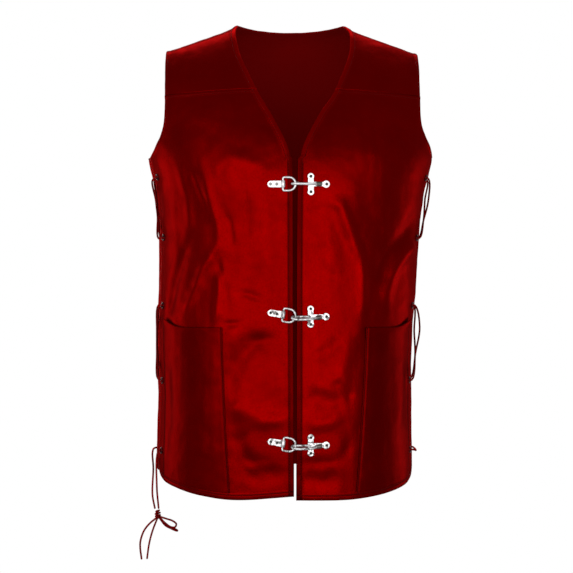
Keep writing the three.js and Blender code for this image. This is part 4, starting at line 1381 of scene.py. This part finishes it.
# How far each clasp's strap and ring are tilted, and how far its hook is rolled.
CLASP_TILTS = {"top": (0, 0), "middle": (-9, 32), "bottom": (-9, 32)}
STRAP_X = -28.0
HOOK_X = 21.5
HOOK_MIDDLE = 8.5
PLATE_BOTTOM, PLATE_TOP = 0.5, 2.5
STRAP_LENGTH, STRAP_HALF, STRAP_NARROW = 21.0, 5.0, 4.4
RING_WIRE, RING_HALF, RING_LENGTH, RING_RISE = 1.4, 9.2, 17.6, 10.0
RING_CORNER = 1.4
KNUCKLE, KNUCKLE_OUT = 2.9, 3.8
CROSS_HALF, CROSS_BAR, LOBE = 10.8, 3.2, 4.7
TAIL_X, TAIL_LOBE, TAIL_NECK = 21.5, 5.2, 2.4
ARM_OUT, ARM_REACH, ARM_RADIUS, HOOK_RADIUS = 3.6, -22.4, 1.5, 1.8
COIL_RADIUS, COIL_WIRE, COIL_TURNS = 2.5, 0.72, 6.5
STRAP_RIVETS = ((-6.2, 0), (2.4, 0))
HOOK_RIVETS = ((0, CROSS_HALF), (0, -CROSS_HALF), (TAIL_X + 0.8, 0))


def strap_frame(name):
    swing = move_by(-STRAP_X, 0, 0) @ turn_about("Z", CLASP_TILTS[name][0]) @ move_by(STRAP_X, 0, 0)
    return frame_on(CLASP_HEIGHTS[name], STRAP_X) @ swing


def hook_frame(name):
    return frame_on(CLASP_HEIGHTS[name], HOOK_X + HOOK_MIDDLE) @ move_by(-HOOK_MIDDLE, 0, 0)


def strap_plate():
    """The plate that holds the ring, with its end rolled round the ring's straight bar."""
    end = -STRAP_LENGTH / 2 + STRAP_NARROW
    right = STRAP_LENGTH / 2 - 0.6
    outline = [(right, -STRAP_HALF), (right, STRAP_HALF), *arc((end, 0), STRAP_NARROW, 90, 270, 20)]
    profile = [(RING_WIRE + 0.3, -STRAP_HALF), (RING_WIRE + 0.3, STRAP_HALF)]
    rim = [(KNUCKLE - 0.4, STRAP_HALF), (KNUCKLE, STRAP_HALF - 0.4)]
    profile += rim + [(radius, -height) for radius, height in reversed(rim)]
    barrel = placed(turned(profile[::-1], 24), turn_about("X", 90))
    barrel = placed(barrel, move_by(STRAP_LENGTH / 2 + 0.6, 0, KNUCKLE_OUT))
    return together([bevelled_plate(outline, PLATE_BOTTOM, PLATE_TOP), barrel])


def d_ring():
    """The ring that the hook holds: a straight bar through the strap's roll, and a round bow."""
    low, bend = RING_HALF - RING_CORNER, RING_LENGTH - RING_HALF
    corners = [(RING_CORNER * 0.4, RING_HALF - RING_CORNER * 0.3), (RING_CORNER * 1.4, RING_HALF)]
    route = [(0, -low), (0, 0), (0, low), *corners, *arc((bend, 0), RING_HALF, 75, -75, 8)]
    route += [(x, -y) for x, y in reversed(corners)]
    route = through([(x, y, 0) for x, y in route], 6, closed=True)
    lift = move_by(STRAP_LENGTH / 2 + 0.6, 0, KNUCKLE_OUT) @ turn_about("Y", -RING_RISE)
    return placed(sweep(route, RING_WIRE, 16, closed=True), lift)


def hook_plate():
    """A cross bar with a lobe at each end, a tail on a narrow neck, and a straight arm under the ring."""
    lobe = math.degrees(math.asin(CROSS_BAR / LOBE))
    neck = math.degrees(math.asin(TAIL_NECK / TAIL_LOBE))
    outline = [
        (CROSS_BAR, TAIL_NECK),
        *arc((0, CROSS_HALF), LOBE, -90 + lobe, 270 - lobe, 26),
        *arc((0, -CROSS_HALF), LOBE, 90 + lobe, 450 - lobe, 26),
        (CROSS_BAR, -TAIL_NECK),
        *arc((TAIL_X, 0), TAIL_LOBE, -180 + neck, 180 - neck, 28),
    ]
    arm = [(0, 0, PLATE_BOTTOM + 0.9), (-4, 0, ARM_OUT - 0.6), (-8, 0, ARM_OUT), (ARM_REACH, 0, ARM_OUT)]
    rod = sweep(*round_ended(through(arm, 8), ARM_RADIUS), 16)
    return together([bevelled_plate(outline, PLATE_BOTTOM, PLATE_TOP), rod])


def sprung_hook(name):
    """The arm that passes over the ring and turns in through it, and the coil that springs it."""
    out = ARM_OUT + 7.6
    arm = [
        (14.5, 0, 5.4), (9, 0, 6.6), (3, 0, 9.4), (-4, 0, out - 0.3), (-12, 0, out), (-19, 0, out),
        (-24, 0, out - 1.1), (-26.6, 0, ARM_OUT + 4), (-26.2, 0, ARM_OUT + 1.3), (-24.4, 0, ARM_OUT),
    ]
    rod = sweep(*round_ended(through(arm, 8), HOOK_RADIUS), 16)
    first, last = np.array(arm[0], float), np.array(arm[1], float)
    along = (last - first) / np.linalg.norm(last - first)
    up = np.cross(along, (0, 1, 0))
    turns = np.linspace(0, COIL_TURNS * 2 * math.pi, int(COIL_TURNS * 22))
    coil = [
        first + (last - first) * 1.25 * turn / turns[-1]
        + COIL_RADIUS * (math.cos(turn) * up + math.sin(turn) * np.array((0, 1, 0)))
        for turn in turns
    ]
    coil = sweep(*round_ended(np.array(coil), COIL_WIRE), 10)
    roll = move_by(0, 0, ARM_OUT) @ turn_about("X", CLASP_TILTS[name][1]) @ move_by(0, 0, -ARM_OUT)
    return placed(rod, roll), placed(coil, roll)


def make_clasps(bright, painted_light_and_mottle, spring_material):
    for name in CLASP_HEIGHTS:
        # the lower clasps take the copy whose strong dull patches are painted shade
        material = bright if name == "top" else painted_light_and_mottle
        strap, hook = strap_frame(name), hook_frame(name)
        rod, coil = sprung_hook(name)
        shapes = {
            "strap_plate": placed(strap_plate(), strap),
            "ring": placed(d_ring(), strap),
            "hook_plate": placed(hook_plate(), hook),
            "hook": placed(rod, hook),
        }
        points, faces, _ = placed(coil, hook)
        spring = make_object(f"clasp_{name}_spring_coiled", points, faces, [spring_material])
        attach(spring, BODY)
        for part, shape in shapes.items():
            thing = make_object(f"clasp_{name}_{part}_polished", shape[0], shape[1], [material])
            thing.data.set_sharp_from_angle(angle=50 * DEG)
            ridden(thing, "clasp", f"clasp_{name}_{part}")


def make_rivets(material):
    for name in CLASP_HEIGHTS:
        plates = ("strap", strap_frame, STRAP_RIVETS), ("hook", hook_frame, HOOK_RIVETS)
        for part, place, rivets in plates:
            start = f"clasp_{name}_{part}_rivet"
            spots = [place(name) @ move_by(x, y, 0) for x, y in rivets]
            # the rivets' middles are painted dark as shade in their recesses, but for the top clasp's
            # strap
            hollow_painted_shade = 0 if (name, part) == ("top", "strap") else HOLLOW_PAINTED_SHADE
            thing = set_pieces(f"{start}s", turned(RIVET_PROFILE, 16), spots, material, hollow_painted_shade)
            ridden(thing, "rivet", *[f"{start}_{i + 1}" for i in range(len(rivets))])


def make_eyelets(material):
    for panel in ("front", "back"):
        for side, word in ((-1, "right"), (1, "left")):
            spots = [frame_at(*eyelet_place(panel, side, height)) for height in EYELET_HEIGHTS]
            thing = set_pieces(f"eyelets_{panel}_{word}", turned(EYELET_PROFILE, 28), spots, material)
            ridden(thing, "eyelet", *[f"eyelet_{panel}_{word}_{i + 1}" for i in range(len(spots))])


# ---------------------------------------------------------------- laces

CORD_SIDES = 12
CORD_STEPS = 6
# One lace on each side. Each row is one crossing, from an eyelet of one edge to an eyelet of the other.
LACE_LEFT = [
    [(161, -27, -611.5), (166, -12, -575), (164, 6, -532)],  # up inside, from the knot
    [(166, 15.5, -506), (177, 17.6, -506), (183, 6, -468), (186, -20, -430)],  # back 4, outside
    [(177, -37.7, -399), (166.6, -33.7, -398.5), (168, -18, -365), (170, 2, -330)],  # front 3, inside
    [(177.6, 15, -301.5), (188.3, 17.5, -302.3), (195, 8, -275), (199, -18, -246)],  # back 2, outside
    [(196.2, -38.7, -216.8), (186.3, -34.7, -214.2), (184, -10, -211)],  # front 1, bar inside
    [(191, 15.4, -214), (201.4, 17.8, -216.9), (196.5, 4, -245), (191.5, -20, -276)],  # back 1, outside
    [(183.5, -38, -302.3), (173.2, -34, -301.5), (163, -16, -335), (161, 4, -370)],  # front 2, inside
    [(170.9, 15, -398.5), (181.6, 17.4, -399.3), (180.5, 2, -437), (179, -22, -472)],  # back 3, outside
    [(172.5, -38.3, -506), (162.2, -34.6, -506), (156, -16, -538), (157, 4, -574)],  # front 4, inside
    [(167.3, 15.7, -606), (178.1, 17.7, -606), (181.5, -10, -609)],  # back 5, bar outside
    [(173.5, -38.4, -606), (163.2, -34.7, -606), (158, -30.5, -611.5)],  # front 5, to the knot
]
LACE_RIGHT = [
    [(-190.4, -43, -687.5), (-193, -43, -655)],  # up from the bow's knot
    [(-190.3, -38.7, -606), (-179.6, -34.4, -606), (-180, -14, -574), (-178, 5, -533)],  # front 5, inside
    [(-182.6, 15.2, -505.8), (-191.6, 17.6, -506.2), (-193.4, 4, -468), (-192.4, -20, -432)],  # back 4
    [(-187.9, -37.8, -399), (-177.8, -33.6, -399.4), (-174, -18, -366), (-174, 2, -332)],  # front 3
    [(-181, 15, -301.8), (-191, 17.5, -302.2), (-192.4, 6, -272), (-193.8, -18, -244)],  # back 2
    [(-195.4, -38.7, -216.6), (-185.4, -34.7, -214.4), (-183, -10, -211)],  # front 1, bar inside
    [(-190, 15.4, -214.3), (-199.6, 17.7, -216.7), (-195.2, 3, -246), (-191.4, -21, -276)],  # back 1
    [(-186.8, -38, -302.2), (-176.5, -34, -301.8), (-167, -16, -336), (-167, 4, -370)],  # front 2
    [(-182.3, 15, -399.4), (-191.2, 17.5, -399), (-193.4, 3, -436), (-192, -22, -472)],  # back 3
    [(-188.5, -38.4, -506.2), (-178.2, -34.3, -505.8), (-170, -16, -540), (-171, 4, -574)],  # front 4
    [(-184.2, 15.6, -606), (-195, 17.8, -606), (-199.5, -8, -611)],  # back 5, round the edge outside
    [(-198, -36, -632), (-199.2, -43, -668), (-195.8, -42.5, -687.5)],  # down to the bow's knot
]
BOW_LOOPS = [
    [
        (-188, -43, -700), (-178, -45, -703), (-170.5, -46, -705.5), (-165.3, -46, -710),
        (-167, -45, -714.5), (-173, -43.5, -714.5), (-181, -42, -709), (-189, -41, -701),
    ],
    [
        (-189.5, -40.5, -701.5), (-181, -39.5, -712.5), (-173, -40, -717), (-165, -39, -720.5),
        (-163.6, -36.5, -720.5), (-166, -34, -719), (-174, -33.5, -715.5), (-183, -35, -709),
        (-190, -39.5, -700),
    ],
]
BOW_TAILS = [
    [
        (-193, -42.5, -701), (-203.8, -44, -710), (-211.4, -44, -720), (-216.2, -43, -734.4),
        (-216.6, -42, -744), (-214.7, -41, -759.8),
    ],
    [(-192.5, -41, -703), (-199, -39, -720), (-203.9, -38, -738.7), (-206.9, -37, -759.8)],
]
# Each knot: its centre, its reach sideways and upright, and how often the cord winds round it.
BOW_KNOT = ((-191.5, -42, -697), 3.3, 6.2, 3.6)
LEFT_KNOT = ((159.6, -29, -617), 2.6, 2.2, 2.1)


def flat_list(rows):
    return [point for row in rows for point in row]


def lace_object(name, route, radius, material):
    """A cord's tube along a route in millimetres, with the path that its rings follow."""
    path, radii = round_ended(route, radius)
    points, faces, where = sweep(path, radii, CORD_SIDES)
    thing = make_object(name, points, faces, [material])
    layer = thing.data.uv_layers.new(name="along")
    layer.data.foreach_set("uv", np.ravel(where))
    return thing, path * MM


def declare_cord(thing, path, diameter):
    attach(thing, BODY)
    tuple(path[0])


def knot_route(centre, across, upright, windings):
    """Turns of cord round an upright middle, close at the ends and wide between."""
    turns = np.linspace(0, 1, int(24 * windings))
    angle = turns * windings * 2 * math.pi
    reach = across * (0.55 + 0.45 * np.sin(turns * math.pi))
    height = upright * (1 - 2 * turns)
    return np.array(centre) + np.stack([reach * np.cos(angle), reach * np.sin(angle), height], axis=1)


def make_knots(radius, material):
    things = []
    for node, knot, loops in (("lace_left_knot", LEFT_KNOT, []), ("lace_right_bow", BOW_KNOT, BOW_LOOPS)):
        routes = [knot_route(*knot), *[through(loop, CORD_STEPS) for loop in loops]]
        tubes = [sweep(*round_ended(route, radius), CORD_SIDES) for route in routes]
        points, faces = together(tubes)
        thing = make_object(f"{node}_tied", points, faces, [material])
        where = [pair for tube in tubes for pair in tube[2]]
        thing.data.uv_layers.new(name="along").data.foreach_set("uv", np.ravel(where))
        ridden(thing, "lace", node)
        things.append(thing)
    return things


def make_laces(settings, material):
    radius = settings.diameter / 2 / MM
    left_knot, bow = make_knots(radius, material)
    left = through(flat_list(LACE_LEFT), CORD_STEPS)
    thing, path = lace_object("lace_left_cord", left, radius, material)
    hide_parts("lace_left")
    declare_cord(thing, path, settings.diameter)
    whole = through(flat_list(LACE_RIGHT), CORD_STEPS)
    first_eyelet = CORD_STEPS * len(LACE_RIGHT[0])
    thing, path = lace_object("lace_right_cord", whole[first_eyelet:], radius, material)
    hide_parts("lace_right")
    declare_cord(thing, path, settings.diameter)
    thing, path = lace_object("lace_right_end", whole[: first_eyelet + 1][::-1], radius, material)
    declare_cord(thing, path, settings.diameter)
    for i, tail in enumerate(BOW_TAILS):
        thing, path = lace_object(f"bow_tail_{i + 1}", through(tail, CORD_STEPS), radius, material)
        declare_cord(thing, path, settings.diameter)


# ---------------------------------------------------------------- stage

VIEW_AT = (-0.0057, 0.0, -0.3719)
CAMERA_AT = (-0.1627, -2.9959, -0.3719)
LENS = 129.98
SENSOR = 36.0
# Softboxes round the vest: azimuth and elevation in degrees from the front, distance, width and height
# in metres, and brightness.
SOFTBOXES = (
    ("softbox_left", -25, 5, 2.6, 1.7, 1.0, 2.9),
    ("softbox_right", 15, -0.6, 2.6, 1.7, 0.68, 4.2),
    ("softbox_side_right", -99, -5, 2.2, 1.1, 0.9, 2.1),
    ("softbox_side_left", 102, -9, 2.2, 0.7, 0.55, 2.9),
    ("softbox_behind_right", -157, 8, 2.6, 0.8, 1.2, 2.6),
    ("softbox_behind_left", 178, 8, 2.6, 1.0, 1.2, 2.2),
    ("softbox_top", 180, 62, 2.2, 1.6, 0.8, 3.0),
)


def softbox(name, azimuth, elevation, distance, width, height, power):
    light = bpy.data.lights.new(name, "AREA")
    light.shape = "RECTANGLE"
    light.size, light.size_y = width, height
    light.energy = power * math.pi * width * height
    thing = bpy.data.objects.new(name, light)
    flat = distance * math.cos(elevation * DEG)
    aim = Vector(VIEW_AT)
    across, forwards = flat * math.sin(azimuth * DEG), -flat * math.cos(azimuth * DEG)
    thing.location = aim + Vector((across, forwards, distance * math.sin(elevation * DEG)))
    thing.rotation_euler = (aim - thing.location).to_track_quat("-Z", "Y").to_euler()
    bpy.context.scene.collection.objects.link(thing)


def white_room(settings):
    """White light, set apart behind and before the vest, and plain white to the camera."""
    world = bpy.data.worlds.new("studio")
    world.use_nodes = True
    bpy.context.scene.world = world
    nodes, links = world.node_tree.nodes, world.node_tree.links
    place = nodes.new("ShaderNodeTexCoord")
    parts = nodes.new("ShaderNodeSeparateXYZ")
    links.new(place.outputs["Generated"], parts.inputs[0])
    behind = nodes.new("ShaderNodeMapRange")
    behind.interpolation_type = "SMOOTHSTEP"
    links.new(parts.outputs["Y"], behind.inputs["Value"])
    ends = {"From Min": 0.0, "From Max": 0.2, "To Min": settings.before, "To Max": settings.behind}
    for key, value in ends.items():
        behind.inputs[key].default_value = value
    surroundings = nodes["Background"]
    links.new(behind.outputs[0], surroundings.inputs["Strength"])
    plain = nodes.new("ShaderNodeBackground")
    plain.inputs["Color"].default_value = (1, 1, 1, 1)
    surroundings.inputs["Color"].default_value = (1, 1, 1, 1)
    seen = nodes.new("ShaderNodeLightPath")
    mixed = nodes.new("ShaderNodeMixShader")
    links.new(seen.outputs["Is Camera Ray"], mixed.inputs[0])
    links.new(surroundings.outputs[0], mixed.inputs[1])
    links.new(plain.outputs[0], mixed.inputs[2])
    links.new(mixed.outputs[0], nodes["World Output"].inputs["Surface"])


def make_stage(settings):
    camera = bpy.data.cameras.new("camera")
    camera.lens, camera.sensor_width = LENS, SENSOR
    thing = bpy.data.objects.new("camera", camera)
    thing.location = CAMERA_AT
    thing.rotation_euler = (Vector(VIEW_AT) - Vector(CAMERA_AT)).to_track_quat("-Z", "Y").to_euler()
    bpy.context.scene.collection.objects.link(thing)
    bpy.context.scene.camera = thing
    bpy.context.scene.view_settings.view_transform = "Standard"
    for name, *place, brightness in SOFTBOXES:
        softbox(name, *place, brightness * settings.softbox_power)
    white_room(settings)


# ---------------------------------------------------------------- settings, operators and panel


def colour_setting(name, description, default):
    return FloatVectorProperty(
        name=name, description=description, subtype="COLOR", size=3, min=0.0, max=1.0, default=default
    )


def amount(name, description, default, **limits):
    return FloatProperty(name=name, description=description, default=default, **limits)


class VestLeather(bpy.types.PropertyGroup):
    colour: colour_setting("Leather", "Colour of the smooth outer face", (0.144, 0.0, 0.0))
    flesh_colour: colour_setting("Inside", "Colour of the rough inner face", (0.12, 0.0, 0.0))
    roughness: amount("Roughness", "How dull the leather is", 0.3, min=0.05, max=1.0)
    sheen: amount("Sheen", "How much of the gloss takes the colour", 0.97, max=1.0)


class VestStitching(bpy.types.PropertyGroup):
    thread_colour: colour_setting("Thread", "Colour of the thread", (0.11, 0.002, 0.002))
    pitch: amount("Pitch", "From one stitch to the next", 0.004, unit="LENGTH")
    length: amount("Length", "Length of a stitch", 0.0031, unit="LENGTH")
    thickness: amount("Thickness", "Thickness of the thread", 0.0007, unit="LENGTH")


class VestMetal(bpy.types.PropertyGroup):
    clasp_colour: colour_setting("Clasps", "Colour of the clasps", (0.92, 0.92, 0.93))
    clasp_roughness: amount("Roughness", "How dull the clasps are", 0.42, max=1.0)
    rivet_colour: colour_setting("Rivets", "Colour of the rivets", (0.7, 0.68, 0.65))
    spring_colour: colour_setting("Springs", "Colour of the clasps' springs", (0.22, 0.2, 0.18))
    eyelet_colour: colour_setting("Eyelets", "Colour of the eyelets", (0.1, 0.004, 0.004))
    # on the lower clasps the strong dull patches are painted shade as well as patination
    patina_and_painted_shade: amount("Patina", "How much of the lower clasps' shine has gone", 0.85, max=1.0)


class VestLacing(bpy.types.PropertyGroup):
    lace_colour: colour_setting("Lace", "Colour of the cord", (0.2, 0.006, 0.006))
    diameter: amount("Diameter", "Thickness of the cord", 0.0027, unit="LENGTH")


class VestStudio(bpy.types.PropertyGroup):
    softbox_power: amount("Softboxes", "Brightness of the softboxes", 1.0, min=0.0)
    behind: amount("Behind", "Brightness of the room behind the vest", 0.39, min=0.0)
    before: amount("Before", "Brightness of the room before the vest", 0.39, min=0.0)


def leather_materials():
    have = bpy.data.materials.get
    settings = bpy.context.scene.vest_leather
    return [
        have("waxed_leather") or leather_material(settings),
        have("leather_inside") or flesh_material(settings),
    ]


def metal(name, colour, roughness, patina_and_painted_shade=0.3):
    return bpy.data.materials.get(name) or metal_material(name, colour, roughness, patina_and_painted_shade)


def sheet(thing, seams):
    """Keep a panel's seam lines for the stitches."""
    SEAM_LINES[thing.name] = seams


class VEST_OT_stage(bpy.types.Operator):
    """Make the camera, the lights and the white room"""

    bl_idname = "vest.stage"
    bl_label = "Stage"

    def execute(self, context):
        make_stage(context.scene.vest_studio)
        return {"FINISHED"}


class VEST_OT_laces(bpy.types.Operator):
    """Make the two laces, the knot and the bow"""

    bl_idname = "vest.laces"
    bl_label = "Laces"

    def execute(self, context):
        settings = context.scene.vest_lacing
        make_laces(settings, lace_material(settings))
        return {"FINISHED"}


class VEST_OT_fronts(bpy.types.Operator):
    """Make the two fronts below their yokes"""

    bl_idname = "vest.fronts"
    bl_label = "Fronts"

    def execute(self, context):
        for side in (-1, 1):
            sheet(*make_front(side, leather_materials()))
        return {"FINISHED"}


class VEST_OT_yokes(bpy.types.Operator):
    """Make the two front yokes"""

    bl_idname = "vest.yokes"
    bl_label = "Yokes"

    def execute(self, context):
        for side in (-1, 1):
            sheet(*make_yoke(side, leather_materials()))
        return {"FINISHED"}


class VEST_OT_back(bpy.types.Operator):
    """Make the back"""

    bl_idname = "vest.back"
    bl_label = "Back"

    def execute(self, context):
        sheet(*make_back(leather_materials()))
        return {"FINISHED"}


class VEST_OT_pockets(bpy.types.Operator):
    """Make the two patch pockets"""

    bl_idname = "vest.pockets"
    bl_label = "Pockets"

    def execute(self, context):
        for side in (-1, 1):
            sheet(*make_pocket(side, leather_materials()))
        return {"FINISHED"}


class VEST_OT_stitching(bpy.types.Operator):
    """Sew every seam that has been laid"""

    bl_idname = "vest.stitching"
    bl_label = "Stitching"

    def execute(self, context):
        settings = context.scene.vest_stitching
        make_stitching(settings, thread_material(settings))
        return {"FINISHED"}


class VEST_OT_eyelets(bpy.types.Operator):
    """Set the eyelets in the laced edges"""

    bl_idname = "vest.eyelets"
    bl_label = "Eyelets"

    def execute(self, context):
        make_eyelets(metal("eyelet_metal", context.scene.vest_metal.eyelet_colour, 0.2))
        return {"FINISHED"}


class VEST_OT_clasps(bpy.types.Operator):
    """Make the strap plates, rings and sprung hooks of the clasps"""

    bl_idname = "vest.clasps"
    bl_label = "Clasps"

    def execute(self, context):
        settings = context.scene.vest_metal
        spring_metal = metal("spring_metal", settings.spring_colour, 0.35)
        look = settings.clasp_colour, settings.clasp_roughness
        bright = metal("clasp_metal", *look, 0.0)
        # the lower clasps' copy of the clasp metal, whose strong dull patches are painted shade
        painted_light_and_mottle = metal("clasp_metal_painted_shade", *look, settings.patina_and_painted_shade)
        make_clasps(bright, painted_light_and_mottle, spring_metal)
        return {"FINISHED"}


class VEST_OT_rivets(bpy.types.Operator):
    """Set the rivets of the clasps"""

    bl_idname = "vest.rivets"
    bl_label = "Rivets"

    def execute(self, context):
        make_rivets(metal("rivet_metal", context.scene.vest_metal.rivet_colour, 0.35))
        return {"FINISHED"}


class VEST_PT_panel(bpy.types.Panel):
    """The vest's sizes, colours and pieces"""

    bl_idname = "VEST_PT_panel"
    bl_label = "Laced leather vest"
    bl_space_type = "VIEW_3D"
    bl_region_type = "UI"
    bl_category = "Vest"

    def draw(self, context):
        for group in SETTINGS:
            box = self.layout.box()
            settings = getattr(context.scene, group)
            for key in type(settings).__annotations__:
                box.prop(settings, key)
        for operator in OPERATORS:
            self.layout.operator(operator.bl_idname)


SETTINGS = {
    "vest_leather": VestLeather,
    "vest_stitching": VestStitching,
    "vest_metal": VestMetal,
    "vest_lacing": VestLacing,
    "vest_studio": VestStudio,
}
OPERATORS = (
    VEST_OT_stage,
    VEST_OT_laces,
    VEST_OT_fronts,
    VEST_OT_yokes,
    VEST_OT_back,
    VEST_OT_pockets,
    VEST_OT_stitching,
    VEST_OT_eyelets,
    VEST_OT_clasps,
    VEST_OT_rivets,
)


def register():
    for entry in (*SETTINGS.values(), *OPERATORS, VEST_PT_panel):
        bpy.utils.register_class(entry)
    for name, group in SETTINGS.items():
        setattr(bpy.types.Scene, name, PointerProperty(type=group))


def unregister():
    for name in SETTINGS:
        delattr(bpy.types.Scene, name)
    for entry in (VEST_PT_panel, *reversed(OPERATORS), *SETTINGS.values()):
        bpy.utils.unregister_class(entry)


def main():
    register()
    for operator in OPERATORS:
        getattr(bpy.ops.vest, operator.bl_idname.split(".")[1])()


if __name__ == "__main__":
    main()
